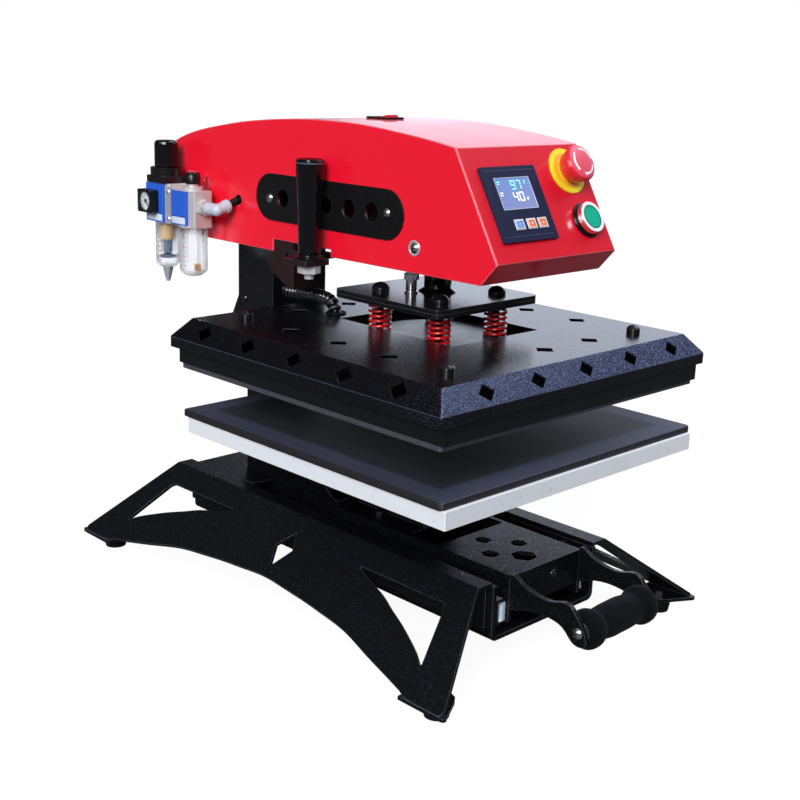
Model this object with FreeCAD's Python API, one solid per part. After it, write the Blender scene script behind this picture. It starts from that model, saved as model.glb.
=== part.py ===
import FreeCAD, Part
import math
import os
from FreeCAD import Vector as V

# Pneumatic swing-head heat press. Millimetres, +Z up.
# Working frame: X to the right, Y to the rear, Z up, zero at the centre of the lower platen's top face.
# Every shape is moved at the end so that the origin is the middle of the footprint, on the floor.

os.makedirs("parts", exist_ok=True)

# ---------------------------------------------------------------- driving dimensions
FLOOR_Z = -215.0          # floor under the rubber feet
PLATEN = 400.0            # side of the square lower platen
PLATEN_T = 18.7           # lower platen thickness
PAD_T = 7.6               # silicone pad thickness
PAD_X = 203.0             # half width of the pad
PAD_Y = (-197.0, 206.0)   # pad front and rear edges
HEAT_Z = 55.7             # underside of the heating platen, head raised
HEAT_T = 5.5              # visible rim plate of the heating platen
HEAT_Y = 7.0              # centre of the upper platen along Y
STROKE = 46.0             # press stroke of the cylinder
FLOAT = 8.0               # spring travel of the heat platen
PIVOT = (0.0, 262.0)      # swing axis
ARM_W = 93.5              # half width of the arm
SHEET = 3.0               # arm sheet thickness
LEG_T = 4.0               # leg sheet thickness
LEG_Y = 98.0              # middle of the legs along Y
LEG_HALF_TOP = 260.0      # half length of a leg along its top bend
LEG_HALF_TIP = 315.0      # half length of a leg at the foot
LEG_X0, LEG_Z0 = 105.5, -114.5   # top bend line of the leg panel
LEG_S = 134.0             # slanted width of the leg panel
FOOT_X, FOOT_U = 186.0, 285.0    # rubber foot centre: x, and distance from the leg's middle
CHAN_X, CHAN_T = 85.0, 5.0       # base channel half width and wall
CHAN_Z = (-180.0, -118.0)
CHAN_Y = (-165.0, 352.0)
GRIP_Y, GRIP_Z = -254.0, -144.5  # axis of the drawer's handle tube
GRIP_R = 20.9                    # foam grip radius
CYL_C = (0.0, 11.0)              # press rod axis
SLOPE_TOP = (-94.4, 314.5)       # upper edge of the sloping control panel (y, z)
SLOPE_LOW = (-154.6, 209.3)      # lower edge of the control panel
TRAVEL = 300.0                   # drawer travel

TAB_TIP = -220.5                 # front tip of the foot tabs
REAR_TIP = 2 * LEG_Y - TAB_TIP
FRONT_TIP = GRIP_Y - GRIP_R
SHIFT = V(0, -(REAR_TIP + FRONT_TIP) / 2.0, -FLOOR_Z)


# ---------------------------------------------------------------- helpers
def box(x0, x1, y0, y1, z0, z1):
    return Part.makeBox(x1 - x0, y1 - y0, z1 - z0, V(x0, y0, z0))


def cyl(x, y, z, r, h, axis=(0, 0, 1)):
    return Part.makeCylinder(r, h, V(x, y, z), V(*axis))


def cone(x, y, z, r1, r2, h, axis=(0, 0, 1)):
    return Part.makeCone(r1, r2, h, V(x, y, z), V(*axis))


def ring(x, y, z, r_out, r_in, h, axis=(0, 0, 1)):
    return cyl(x, y, z, r_out, h, axis).cut(cyl(x, y, z, r_in, h, axis))


def fuse(*shapes):
    out = shapes[0]
    if len(shapes) > 1:
        out = out.multiFuse(list(shapes[1:]))
    try:
        out = out.removeSplitter()
    except Exception:
        pass
    return out


def cut(shape, *tools):
    for t in tools:
        shape = shape.cut(t)
    return shape


def prism_yz(pts, x0, x1):
    w = Part.makePolygon([V(x0, y, z) for y, z in pts] + [V(x0, pts[0][0], pts[0][1])])
    return Part.Face(w).extrude(V(x1 - x0, 0, 0))


def prism_xz(pts, y0, y1):
    w = Part.makePolygon([V(x, y0, z) for x, z in pts] + [V(pts[0][0], y0, pts[0][1])])
    return Part.Face(w).extrude(V(0, y1 - y0, 0))


def prism_xy(pts, z0, z1):
    w = Part.makePolygon([V(x, y, z0) for x, y in pts] + [V(pts[0][0], pts[0][1], z0)])
    return Part.Face(w).extrude(V(0, 0, z1 - z0))


def hexagon(x, y, z, flats, h, axis=(0, 0, 1), turn=0.0):
    """A hexagonal prism with a small chamfer cone on its far end."""
    r = flats / math.sqrt(3.0)
    pts = [V(r * math.cos(math.radians(60 * i + turn)), r * math.sin(math.radians(60 * i + turn)), 0) for i in range(7)]
    s = Part.Face(Part.makePolygon(pts)).extrude(V(0, 0, h))
    s = s.common(cone(0, 0, 0, r + h * 1.2, r * 0.93, h))
    s.Placement = FreeCAD.Placement(V(x, y, z), FreeCAD.Rotation(V(0, 0, 1), V(*axis)))
    return s


def dome(x, y, z, r, h, axis=(0, 0, 1)):
    """A domed screw head: a slice of a sphere of foot radius r and height h."""
    big = (r * r + h * h) / (2 * h)
    s = Part.makeSphere(big, V(0, 0, h - big)).common(Part.makeCylinder(r, h + 1, V(0, 0, 0), V(0, 0, 1)))
    s.Placement = FreeCAD.Placement(V(x, y, z), FreeCAD.Rotation(V(0, 0, 1), V(*axis)))
    return s


def round_box(x0, x1, y0, y1, z0, z1, r):
    """A box with its four vertical edges rounded."""
    b = box(x0, x1, y0, y1, z0, z1)
    edges = [e for e in b.Edges if abs(e.BoundBox.ZLength - (z1 - z0)) < 1e-6 and e.BoundBox.XLength < 1e-6 and e.BoundBox.YLength < 1e-6]
    return b.makeFillet(r, edges)


def soften(shape, r, pick):
    """Rounds the picked edges, and keeps the shape as it is where rounding fails."""
    edges = [e for e in shape.Edges if pick(e)]
    if not edges:
        return shape
    try:
        s = shape.makeFillet(r, edges)
        if s.isValid() and s.Volume > 0:
            return s
    except Exception:
        pass
    print("left sharp", len(edges), "edges at", r)
    return shape


def mirror_x(shape):
    return shape.mirror(V(0, 0, 0), V(1, 0, 0))


def pipe(points, r, start_dir=None):
    """A round tube along straight runs joined by tangent arcs. Prints the arc radii and the length."""
    p = [V(*q) for q in points]
    edges, cur, radii, length = [], p[0], [], 0.0
    for i in range(1, len(p) - 1):
        a, b = (p[i - 1] - p[i]), (p[i + 1] - p[i])
        la, lb = a.Length, b.Length
        a = a * (1.0 / la)
        b = b * (1.0 / lb)
        turn = math.pi - math.acos(max(-1.0, min(1.0, a.dot(b))))
        rad = 0.45 * min(la, lb) / math.tan(turn / 2)
        t = 0.45 * min(la, lb)
        s, e = p[i] + a * t, p[i] + b * t
        bis = (a + b) * (1.0 / (a + b).Length)
        mid = p[i] + bis * (rad / math.cos(turn / 2) - rad)
        edges.append(Part.LineSegment(cur, s).toShape())
        edges.append(Part.Arc(s, mid, e).toShape())
        length += (s - cur).Length + rad * turn
        radii.append(round(rad, 1))
        cur = e
    edges.append(Part.LineSegment(cur, p[-1]).toShape())
    length += (p[-1] - cur).Length
    path = Part.Wire(edges)
    d = (p[1] - p[0])
    prof = Part.Wire([Part.Circle(p[0], d, r).toShape()])
    tube = path.makePipeShell([prof], True, True)
    print("tube radii", radii, "length", round(length, 1), "volume share", round(tube.Volume / (math.pi * r * r * length), 3))
    return tube


def revolve_z(pts, x, y):
    """Revolves an (r, z) outline about the vertical line through x, y."""
    w = Part.makePolygon([V(x + r, y, z) for r, z in pts] + [V(x + pts[0][0], y, pts[0][1])])
    return Part.Face(w).revolve(V(x, y, 0), V(0, 0, 1), 360)


SLOPE_LEN = math.hypot(SLOPE_TOP[0] - SLOPE_LOW[0], SLOPE_TOP[1] - SLOPE_LOW[1])
SLOPE_ANGLE = math.degrees(math.atan2(SLOPE_TOP[1] - SLOPE_LOW[1], SLOPE_TOP[0] - SLOPE_LOW[0]))


def on_slope(shape):
    """From panel coordinates (X, v = minus the distance down the slope, w = out of the panel) to the working frame."""
    s = shape.copy()
    s.Placement = FreeCAD.Placement(V(0, SLOPE_TOP[0], SLOPE_TOP[1]), FreeCAD.Rotation(V(1, 0, 0), SLOPE_ANGLE)).multiply(s.Placement)
    return s


written = []


def emit(name, *shapes):
    solids = []
    for s in shapes:
        solids += s.Solids
    solids = [s.copy() for s in solids]
    for s in solids:
        s.translate(SHIFT)
    out = solids[0] if len(solids) == 1 else Part.makeCompound(solids)
    bad = [i for i, s in enumerate(solids) if not s.isValid() or s.Volume <= 0]
    b = out.BoundBox
    print("%-22s %2d solids  %9.1f mm3  x %.1f..%.1f  y %.1f..%.1f  z %.1f..%.1f %s" % (
        name, len(solids), sum(s.Volume for s in solids), b.XMin, b.XMax, b.YMin, b.YMax, b.ZMin, b.ZMax, "BAD" if bad else ""))
    out.exportStep("parts/%s.step" % name)
    written.append(name)


# ---------------------------------------------------------------- fixed base
LX, LZ = 0.7960, -0.6053      # slanted direction of the right leg panel
NX, NZ = -0.6053, -0.7960     # into the sheet


def leg_point(u, s, t=0.0):
    return V(LEG_X0 + LX * s + NX * t, LEG_Y + u, LEG_Z0 + LZ * s + NZ * t)


def leg_wire(parts):
    """parts is a list of ('line' or 'spline' or 'arc', [(u, s), ...]); each starts where the last one ended."""
    edges = []
    for kind, pts in parts:
        q = [leg_point(u, s) for u, s in pts]
        if kind == "line":
            for a, b in zip(q, q[1:]):
                edges.append(Part.LineSegment(a, b).toShape())
        elif kind == "arc":
            edges.append(Part.Arc(*q).toShape())
        else:
            c = Part.BSplineCurve()
            c.interpolate(q)
            edges.append(c.toShape())
    return Part.Wire(edges)


def leg_prism(parts, depth=LEG_T, start=0.0):
    f = Part.Face(leg_wire(parts))
    s = f.extrude(V(NX, 0, NZ) * depth)
    s.translate(V(NX, 0, NZ) * start)
    return s


arch_half = [(0, 86), (39, 88.6), (70, 91), (109, 95.4), (143, 100), (192, 113), (223, 121), (255, 129.5)]
arch = [(-u, s) for u, s in reversed(arch_half[1:])] + arch_half
tip = LEG_HALF_TIP


def side(sign, pts):
    return [(sign * u, s) for u, s in pts]


outline = [
    ("line", [(-LEG_HALF_TOP, 0), (LEG_HALF_TOP, 0), (tip - 1.5, 126)]),
    ("arc", [(tip - 1.5, 126), (tip - 2.5, 132), (tip - 9, LEG_S)]),
    ("line", [(tip - 9, LEG_S), (272, LEG_S)]),
    ("arc", [(272, LEG_S), (263, 132.6), (255, 129.5)]),
    ("spline", list(reversed(arch))),
    ("arc", [(-255, 129.5), (-263, 132.6), (-272, LEG_S)]),
    ("line", [(-272, LEG_S), (-tip + 9, LEG_S)]),
    ("arc", [(-tip + 9, LEG_S), (-tip + 2.5, 132), (-tip + 1.5, 126)]),
    ("line", [(-tip + 1.5, 126), (-LEG_HALF_TOP, 0)]),
]
panel = leg_prism(outline)
win = [(113, 30.5), (136, 40), (163, 48), (180, 56), (203, 66), (225, 77), (243, 87), (255, 96)]
for sg in (1, -1):
    hole = [
        ("line", side(sg, [(259, 96), (240.5, 37)])),
        ("arc", side(sg, [(240.5, 37), (237.5, 31.3), (231, 29.0)])),
        ("line", side(sg, [(231, 29.0), (113, 29.0), (113, 30.5)])),
        ("spline", side(sg, win)),
        ("arc", side(sg, [(255, 96), (257.5, 97.6), (259, 96)])),
    ]
    panel = panel.cut(leg_prism(hole, LEG_T + 4, -2))
diamond = [("line", [(0, 24), (15, 46), (0, 73), (-13, 46), (0, 24)])]
panel = panel.cut(leg_prism(diamond, LEG_T + 4, -2))

flange = box(CHAN_X, LEG_X0, LEG_Y - LEG_HALF_TOP, LEG_Y + LEG_HALF_TOP, LEG_Z0 - LEG_T, LEG_Z0)
web = box(CHAN_X, CHAN_X + LEG_T, LEG_Y - LEG_HALF_TOP + 4, LEG_Y + LEG_HALF_TOP - 6, -165.0, LEG_Z0)
TAB_Z = (-200.0, -196.0)
tab_pts = [(213.0, -160.0), (213.0, -216.5), (212.0, -219.5), (209.0, -220.5), (178.5, -203.0), (172.5, -198.0), (170.0, -191.0), (170.0, -168.0), (176.0, -160.0)]
tabs = []
for sg in (1, -1):
    pts = tab_pts if sg == 1 else [(x, 2 * LEG_Y - y) for x, y in tab_pts]
    t = prism_xy(pts, *TAB_Z)
    yc = LEG_Y - FOOT_U if sg == 1 else LEG_Y + FOOT_U
    t = t.cut(cyl(FOOT_X, yc, TAB_Z[0] - 1, 4.0, 6))
    y0, y1 = (-214.0, -174.0) if sg == 1 else (2 * LEG_Y + 174.0, 2 * LEG_Y + 214.0)
    tabs += [t, Part.makeCylinder(2.2, abs(y1 - y0), V(210.7, y0, -197.8), V(0, 1, 0))]
LEG_BOLT_Y = (-120.0, 98.0, 316.0)
leg = fuse(panel, flange, web, *tabs)
for y in LEG_BOLT_Y:
    leg = leg.cut(cyl(CHAN_X - 1, y, -128.0, 4.2, 6, (1, 0, 0)))
# a quarter round along the outside of the top bend
leg = soften(leg, 3.0, lambda e: abs(e.BoundBox.XMin - LEG_X0) < 0.05 and abs(e.BoundBox.XMax - LEG_X0) < 0.05
             and e.BoundBox.YLength > 400 and abs(e.BoundBox.ZMax - LEG_Z0) < 0.05)
emit("leg_right", leg)
emit("leg_left", mirror_x(leg))

feet, bolts = [], []
for sx in (1, -1):
    for sy in (1, -1):
        x, y = sx * FOOT_X, LEG_Y + sy * FOOT_U
        f = cone(x, y, FLOOR_Z, 12.5, 15.0, TAB_Z[0] - FLOOR_Z)
        f = f.cut(cyl(x, y, FLOOR_Z + 5, 3.9, 20))
        feet.append(f)
        b = fuse(cyl(x, y, FLOOR_Z + 6, 3.85, TAB_Z[1] - FLOOR_Z - 6), hexagon(x, y, TAB_Z[1], 13.0, 5.0, turn=17.0 * sx + 9 * sy))
        bolts.append(b)
    for y in LEG_BOLT_Y:
        ax = (sx, 0, 0)
        shank = cyl(sx * (CHAN_X - CHAN_T), y, -128.0, 4.0, CHAN_T + LEG_T, ax)
        head = hexagon(sx * (CHAN_X + LEG_T), y, -128.0, 13.0, 5.0, ax, 30)
        nut = hexagon(sx * (CHAN_X - CHAN_T), y, -128.0, 13.0, 4.5, (-sx, 0, 0), 30)
        bolts.append(fuse(shank, head, nut))
emit("rubber_feet", *feet)
emit("base_bolts", *bolts)

outer = box(-CHAN_X, CHAN_X, CHAN_Y[0], CHAN_Y[1], *CHAN_Z)
outer = soften(outer, 8.0, lambda e: e.BoundBox.YLength > 400 and e.BoundBox.ZMax < CHAN_Z[0] + 0.01)
inner = box(-CHAN_X + CHAN_T, CHAN_X - CHAN_T, CHAN_Y[0] - 1, CHAN_Y[1] - CHAN_T, CHAN_Z[0] + CHAN_T, CHAN_Z[1] + 1)
inner = soften(inner, 3.5, lambda e: e.BoundBox.YLength > 400 and e.BoundBox.ZMax < CHAN_Z[0] + CHAN_T + 0.01)
channel = outer.cut(inner)
for y in LEG_BOLT_Y:
    channel = channel.cut(cyl(-CHAN_X - 1, y, -128.0, 4.05, 2 * CHAN_X + 2, (1, 0, 0)))
emit("base_channel", channel)

# pedestal: a welded box column standing on the channel floor
PED_X, PED_T = 50.0, 5.0


def ped_face(x):
    e = []
    P = lambda y, z: V(x, y, z)
    L = lambda a, b: e.append(Part.LineSegment(P(*a), P(*b)).toShape())
    A = lambda a, m, b: e.append(Part.Arc(P(*a), P(*m), P(*b)).toShape())
    L((112, -175), (112, -112))
    A((112, -112), (129.7, -104.7), (137, -87))
    L((137, -87), (137, -38))
    A((137, -38), (140.8, -28.8), (150, -25))
    L((150, -25), (200, -25))
    A((200, -25), (209.9, -20.9), (214, -11))
    L((214, -11), (214, 0))
    L((214, 0), (286, 0))
    L((286, 0), (286, -175))
    L((286, -175), (112, -175))
    return Part.Face(Part.Wire(e))


ped = ped_face(-PED_X).extrude(V(2 * PED_X, 0, 0))
ped_in = prism_yz([(117, -176), (117, -109), (142, -84), (142, -40), (150, -30), (203, -30), (219, -14), (219, -5), (281, -5), (281, -176)], -PED_X + PED_T, PED_X - PED_T)
ped = ped.cut(ped_in)
ped = fuse(ped, cyl(PIVOT[0], PIVOT[1], 0, 46.0, 6.0))
emit("pedestal_column", ped)

cover = box(-82, 82, 232, 344, -118.0, -115.0)
cover = cover.cut(box(-50.3, 50.3, 220, 286.3, -119, -114))
cover = soften(cover, 4.0, lambda e: abs(e.BoundBox.ZLength - 3.0) < 1e-6 and abs(abs(e.BoundBox.XMin) - 82) < 0.01)
emit("rear_cover_plate", cover)

HOUSE_Z = (6.0, 60.0)
house = ring(PIVOT[0], PIVOT[1], HOUSE_Z[0], 42.0, 25.0, HOUSE_Z[1] - HOUSE_Z[0])
house = soften(house, 2.0, lambda e: abs(e.BoundBox.ZMin - HOUSE_Z[1]) < 0.01 and e.BoundBox.XLength > 80)
emit("bearing_housing", house)
emit("pivot_bushes",
     ring(PIVOT[0], PIVOT[1], 7.0, 25.0, 20.05, 18.0),
     ring(PIVOT[0], PIVOT[1], 42.0, 25.0, 20.05, 18.0),
     ring(PIVOT[0], PIVOT[1], 60.0, 36.0, 20.5, 1.9))

# telescopic slides, one pair: fixed outer, middle and inner members
SLIDE_Y = (-160.0, 190.0)
SL_ZM = -153.0


def c_section(x_web, web_t, x_lip, half, lip_t, y0, y1):
    """A C opening towards the middle of the press: web at x_web..x_web+web_t, lips from x_lip."""
    return fuse(box(x_web, x_web + web_t, y0, y1, SL_ZM - half, SL_ZM + half),
                box(x_lip, x_web + web_t, y0, y1, SL_ZM + half - lip_t, SL_ZM + half),
                box(x_lip, x_web + web_t, y0, y1, SL_ZM - half, SL_ZM - half + lip_t))


so = fuse(c_section(71.5, 1.5, 62.5, 14.0, 1.5, *SLIDE_Y),
          *[box(73.0, CHAN_X - CHAN_T, y, y + 40, SL_ZM - 8, SL_ZM + 8) for y in (-150.0, 0.0, 145.0)])
emit("slide_outer_members", so, mirror_x(so))
sm = c_section(69.6, 1.4, 62.8, 12.1, 1.4, SLIDE_Y[0], SLIDE_Y[1] - 6)
emit("slide_mid_members", sm, mirror_x(sm))
si = fuse(box(66.0, 69.2, SLIDE_Y[0], SLIDE_Y[1] - 10, SL_ZM - 9.5, SL_ZM + 9.5),
          box(60.0, 66.0, SLIDE_Y[0], SLIDE_Y[1] - 10, SL_ZM - 7.5, SL_ZM + 7.5))
emit("slide_inner_members", si, mirror_x(si))

# ---------------------------------------------------------------- drawer
TR_Y = (-165.0, 108.0)
tray = fuse(box(-60, 60, TR_Y[0], TR_Y[1], -118.0, -114.0),
            box(-60, -56, TR_Y[0], TR_Y[1], -165.0, -114.0),
            box(56, 60, TR_Y[0], TR_Y[1], -165.0, -114.0),
            box(-60, 60, TR_Y[0], TR_Y[0] + 4, -152.0, -114.0))
tray = soften(tray, 3.0, lambda e: e.BoundBox.YLength > 250 and e.BoundBox.ZMin > -114.01 and abs(abs(e.BoundBox.XMin) - 60) < 0.01)
tray = tray.cut(round_box(-53, 53, -57, -12, -120, -113, 3))
for x, y, d, n in ((-4.5, -78, 17, 6), (19, -109.5, 17, 6), (-28, -110, 18.5, 6), (-4.5, -137, 25.5, 6)):
    r = d / 2.0 / math.cos(math.pi / n)
    pts = [(x + r * math.cos(2 * math.pi * i / n), y + r * math.sin(2 * math.pi * i / n)) for i in range(n)]
    tray = tray.cut(prism_xy(pts, -120, -113))
post = cut(box(-27.5, 27.5, -10, 100, -114.0, -24.0), box(-23.5, 23.5, -6, 96, -115.0, -26.0))
cap = round_box(-110, 110, -80, 128, -24.0, -PLATEN_T, 12)
carriage = fuse(tray, post, cap)
carriage = cut(carriage, cyl(12.0, TR_Y[0] - 1, -130.0, 3.1, 6, (0, 1, 0)), cyl(-37, 53, -119, 3.1, 6))
emit("drawer_carriage", carriage)

plate = box(-PLATEN / 2, PLATEN / 2, -PLATEN / 2, PLATEN / 2, -PLATEN_T, 0)
plate = soften(plate, 1.2, lambda e: e.BoundBox.ZLength > 10)
plate = soften(plate, 0.8, lambda e: e.BoundBox.ZMin > -0.01)
emit("lower_platen", plate)
pad = box(-PAD_X, PAD_X, PAD_Y[0], PAD_Y[1], 0.0, PAD_T)
pad = soften(pad, 5.0, lambda e: abs(e.BoundBox.ZLength - PAD_T) < 1e-6 and e.BoundBox.XLength < 1e-6 and e.BoundBox.YLength < 1e-6)
pad = soften(pad, 1.5, lambda e: e.BoundBox.ZMin > PAD_T - 0.01)
emit("silicone_pad", pad)

arm_up = [(-165, -112), (-169, -110.5), (-178, -115), (-191, -120), (-211, -123), (-225, -121), (-237, -118), (-244, -120), (-250, -126), (-257, -134), (-262, -142)]
arm_lo = [(-265, -150), (-262, -157), (-254, -158.5), (-246, -155), (-240, -149), (-233, -144), (-221, -141), (-205, -140.5), (-190, -142.5), (-176, -147), (-165, -151)]


def arm_plate(x0, x1):
    up, lo = Part.BSplineCurve(), Part.BSplineCurve()
    up.interpolate([V(x0, y, z) for y, z in arm_up])
    lo.interpolate([V(x0, y, z) for y, z in arm_lo])
    a, b = arm_up[-1], arm_lo[0]
    c, d = arm_lo[-1], arm_up[0]
    w = Part.Wire([up.toShape(), Part.LineSegment(V(x0, *a), V(x0, *b)).toShape(), lo.toShape(), Part.LineSegment(V(x0, *c), V(x0, *d)).toShape()])
    return Part.Face(w).extrude(V(x1 - x0, 0, 0))


ap = arm_plate(55.0, 60.0)
tube_bar = ring(-55.0, GRIP_Y, GRIP_Z, 11.0, 9.0, 110.0, (1, 0, 0))
frame = [ap, mirror_x(ap), tube_bar]
plugs = [cyl(s * 47.0, GRIP_Y, GRIP_Z, 8.98, 8.0, (s, 0, 0)) for s in (1, -1)]
handle = fuse(*(frame + plugs))
for s in (1, -1):
    handle = handle.cut(cyl(s * 49.0, GRIP_Y, GRIP_Z, 3.05, 12.0, (s, 0, 0)))
emit("handle_frame", handle)
FOAM_HALF = [(17.9, 0), (17.8, 10), (17.4, 18), (16.8, 25), (16.4, 30), (16.6, 32.5), (17.6, 34.5), (19.4, 37), (20.5, 40), (20.9, 43.5), (20.7, 47), (19.9, 50), (18.4, 52), (16.2, 53), (11.05, 53)]
foam_pts = [(r, -x) for r, x in reversed(FOAM_HALF[1:])] + FOAM_HALF
w = Part.makePolygon([V(x, GRIP_Y + r, GRIP_Z) for r, x in foam_pts] + [V(foam_pts[0][1], GRIP_Y + foam_pts[0][0], GRIP_Z)])
foam = Part.Face(w).revolve(V(0, GRIP_Y, GRIP_Z), V(1, 0, 0), 360)
emit("foam_grip", foam)
db = []
for s in (1, -1):
    db.append(fuse(cyl(s * 50.0, GRIP_Y, GRIP_Z, 3.0, 10.0, (s, 0, 0)), dome(s * 60.0, GRIP_Y, GRIP_Z, 6.2, 3.6, (s, 0, 0))))
db.append(fuse(cyl(12.0, TR_Y[0] + 4, -130.0, 3.0, 4.0, (0, -1, 0)), dome(12.0, TR_Y[0], -130.0, 5.0, 3.0, (0, -1, 0))))
db.append(fuse(cyl(-37, 53, -118, 3.0, 4.0), hexagon(-37, 53, -114, 11.0, 4.5)))
emit("drawer_bolts", *db)

# ---------------------------------------------------------------- swing head: column and arm
COL = (-42.0, 42.0, 246.0, 314.0)
COL_TOP = 285.0
column = cut(box(COL[0], COL[1], COL[2], COL[3], 62.0, COL_TOP), box(COL[0] + 5, COL[1] - 5, COL[2] + 5, COL[3] - 5, 68.0, COL_TOP - 5))
base_fl = round_box(-44, 44, 238, 320, 62.0, 68.0, 8)
spindle = cyl(PIVOT[0], PIVOT[1], 8.0, 20.0, 56.0)
rib = [(313.0, 106.0), (327.0, 78.0), (327.0, 68.0), (313.0, 68.0)]
column = fuse(column, base_fl, spindle, prism_yz(rib, -42.0, -36.0), prism_yz(rib, 36.0, 42.0), box(-36, 36, 313, 327, 62, 68), box(-42, -36, 313, 327, 62, 68), box(36, 42, 313, 327, 62, 68))
column = column.cut(cyl(-43, 301.0, 101.5, 3.05, 7.0, (1, 0, 0)))
emit("swing_column", column)

top_pts = [(-94.4, 314.5), (-57, 320), (-21, 324), (15, 327.4), (45, 329.3), (76, 330.1), (108, 330), (140, 329.1), (175, 327), (207, 324.3), (244, 320), (282, 314), (322, 306.5), (345, 300.5), (365, 293.5), (380, 286), (388, 279), (392, 268)]


def arm_face(x, d):
    """Side outline of the arm, drawn d inside the outer skin."""
    e = []
    P = lambda y, z: V(x, y, z)
    L = lambda a, b: e.append(Part.LineSegment(P(*a), P(*b)).toShape())
    nose_n = (-(SLOPE_TOP[1] - SLOPE_LOW[1]) / SLOPE_LEN, (SLOPE_TOP[0] - SLOPE_LOW[0]) / SLOPE_LEN)
    tp = [(y, z - d) for y, z in top_pts]
    tp = [(min(y, 392 - d), z) for y, z in tp]
    if d:
        tp[0] = (SLOPE_TOP[0] + 1.75 * d / 3, SLOPE_TOP[1] - 2.9 * d / 3)
        tp[-1] = (392 - d, 266)
        tp[-2] = (386.5, 276)
    c = Part.BSplineCurve()
    c.interpolate([P(*q) for q in tp])
    e.append(c.toShape())
    if d:
        sl = (SLOPE_LOW[0] - nose_n[0] * d + 0.4, SLOPE_LOW[1] - nose_n[1] * d + 1.6)
        lo = (-134.6 + 1.0, 186.9 + d)
        L(tp[-1], (392 - d, 180.5 + d))
        L((392 - d, 180.5 + d), lo if False else (-110.0, 180.5 + d))
        L((-110.0, 180.5 + d), (-133.6, 186.9 + d))
        L((-133.6, 186.9 + d), sl)
        L(sl, tp[0])
    else:
        L((392, 268), (392, 190))
        e.append(Part.Arc(P(392, 190), P(389.5, 183.2), P(382, 180.5)).toShape())
        L((382, 180.5), (182, 180.5))
        L((182, 180.5), (182, 194))
        L((182, 194), (83, 194))
        L((83, 194), (83, 186.0))
        L((83, 186.0), (-134.6, 186.9))
        L((-134.6, 186.9), SLOPE_LOW)
        L(SLOPE_LOW, SLOPE_TOP)
    return Part.Face(Part.Wire(e))


outer = arm_face(-ARM_W, 0.0).extrude(V(2 * ARM_W, 0, 0))
outer = soften(outer, 2.2, lambda e: abs(abs(e.BoundBox.XMin) - ARM_W) < 0.01 and e.BoundBox.XLength < 0.01
               and e.BoundBox.YLength > 400)
outer = soften(outer, 2.2, lambda e: abs(abs(e.BoundBox.XMin) - ARM_W) < 0.01 and e.BoundBox.XLength < 0.01
               and e.BoundBox.ZMin > 209 and e.BoundBox.YMax < -90 and e.BoundBox.ZLength > 50)
inner = arm_face(-ARM_W + SHEET, SHEET).extrude(V(2 * (ARM_W - SHEET), 0, 0))
housing = outer.cut(inner)
housing = housing.cut(box(-ARM_W + SHEET, ARM_W - SHEET, -105, 392 - SHEET, 170, 195))
BASE_Z = (195.0, 198.0)

# vent openings in both sides
VENT_Y = (-1.6, 185.0)
VENT_Z, VENT_R = 241.0, 26.0
VENT_HOLES = (20.0, 56.0, 92.0, 128.0, 164.0)
VENT_SCREWS = ((187.0, 239.4), (-3.2, 242.5))
SIDE_SCREW = (-43.4, 211.7)
HOSE_HOLE = (246.3, 231.3)
for s in (1, -1):
    x0 = -ARM_W - 1 if s < 0 else ARM_W - SHEET - 1
    for y in VENT_HOLES:
        housing = housing.cut(cyl(x0, y, VENT_Z, 10.0, SHEET + 2, (1, 0, 0)))
    for y, z in VENT_SCREWS + (SIDE_SCREW,):
        housing = housing.cut(cyl(x0, y, z, 2.05, SHEET + 2, (1, 0, 0)))
housing = housing.cut(cyl(-ARM_W - 1, HOSE_HOLE[0], HOSE_HOLE[1], 6.0, SHEET + 2, (1, 0, 0)))
# openings of the control panel (panel coordinates) and of the top switch
CASE_X = (-75.5, 6.5)
CASE_V = (-101.5, -22.5)
ES = (59.0, -30.5)
ST = (61.0, -86.0)
housing = cut(housing, on_slope(box(CASE_X[0] + 3.5, CASE_X[1] - 3.5, CASE_V[0] + 3.5, CASE_V[1] - 3.5, -6, 4)),
              on_slope(cyl(ES[0], ES[1], -6, 11.0, 10)), on_slope(cyl(ST[0], ST[1], -6, 11.5, 10)))
SW = (3.0, 105.0)
SW_Z = 330.0
housing = housing.cut(box(SW[0] - 11, SW[0] + 11, SW[1] - 14, SW[1] + 14, 320, 340))
GLAND = (55.0, 222.0)      # x, z of the cable gland on the rear wall
housing = housing.cut(cyl(GLAND[0], 385, GLAND[1], 8.0, 12, (0, 1, 0)))
emit("arm_housing", housing)

plate = box(-ARM_W + SHEET, ARM_W - SHEET, -105, 392 - SHEET, *BASE_Z)
bush_fl = cyl(-30, 22, 182, 11.0, 16.0)
plate = fuse(plate, bush_fl)
plate = cut(plate, box(COL[0], COL[1], COL[2], COL[3], 190, 200), cyl(CYL_C[0], CYL_C[1], 190, 15.5, 12), cyl(-30, 22, 180, 6.05, 20))
for sx in (1, -1):
    for sy in (1, -1):
        plate = plate.cut(cyl(CYL_C[0] + sx * 38, CYL_C[1] + sy * 38, 190, 4.05, 12))
emit("arm_base_plate", plate)


def vent(xs):
    s = 1 if xs > 0 else -1
    p = fuse(cyl(xs, VENT_Y[0], VENT_Z, VENT_R, 1.5, (s, 0, 0)), cyl(xs, VENT_Y[1], VENT_Z, VENT_R, 1.5, (s, 0, 0)),
             box(min(xs, xs + 1.5 * s), max(xs, xs + 1.5 * s), VENT_Y[0], VENT_Y[1], VENT_Z - VENT_R, VENT_Z + VENT_R))
    for y in VENT_HOLES:
        p = p.cut(cyl(xs - s, y, VENT_Z, 10.0, 4, (s, 0, 0)))
    for y, z in VENT_SCREWS:
        p = p.cut(cyl(xs - s, y, z, 2.05, 4, (s, 0, 0)))
    return p


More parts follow.
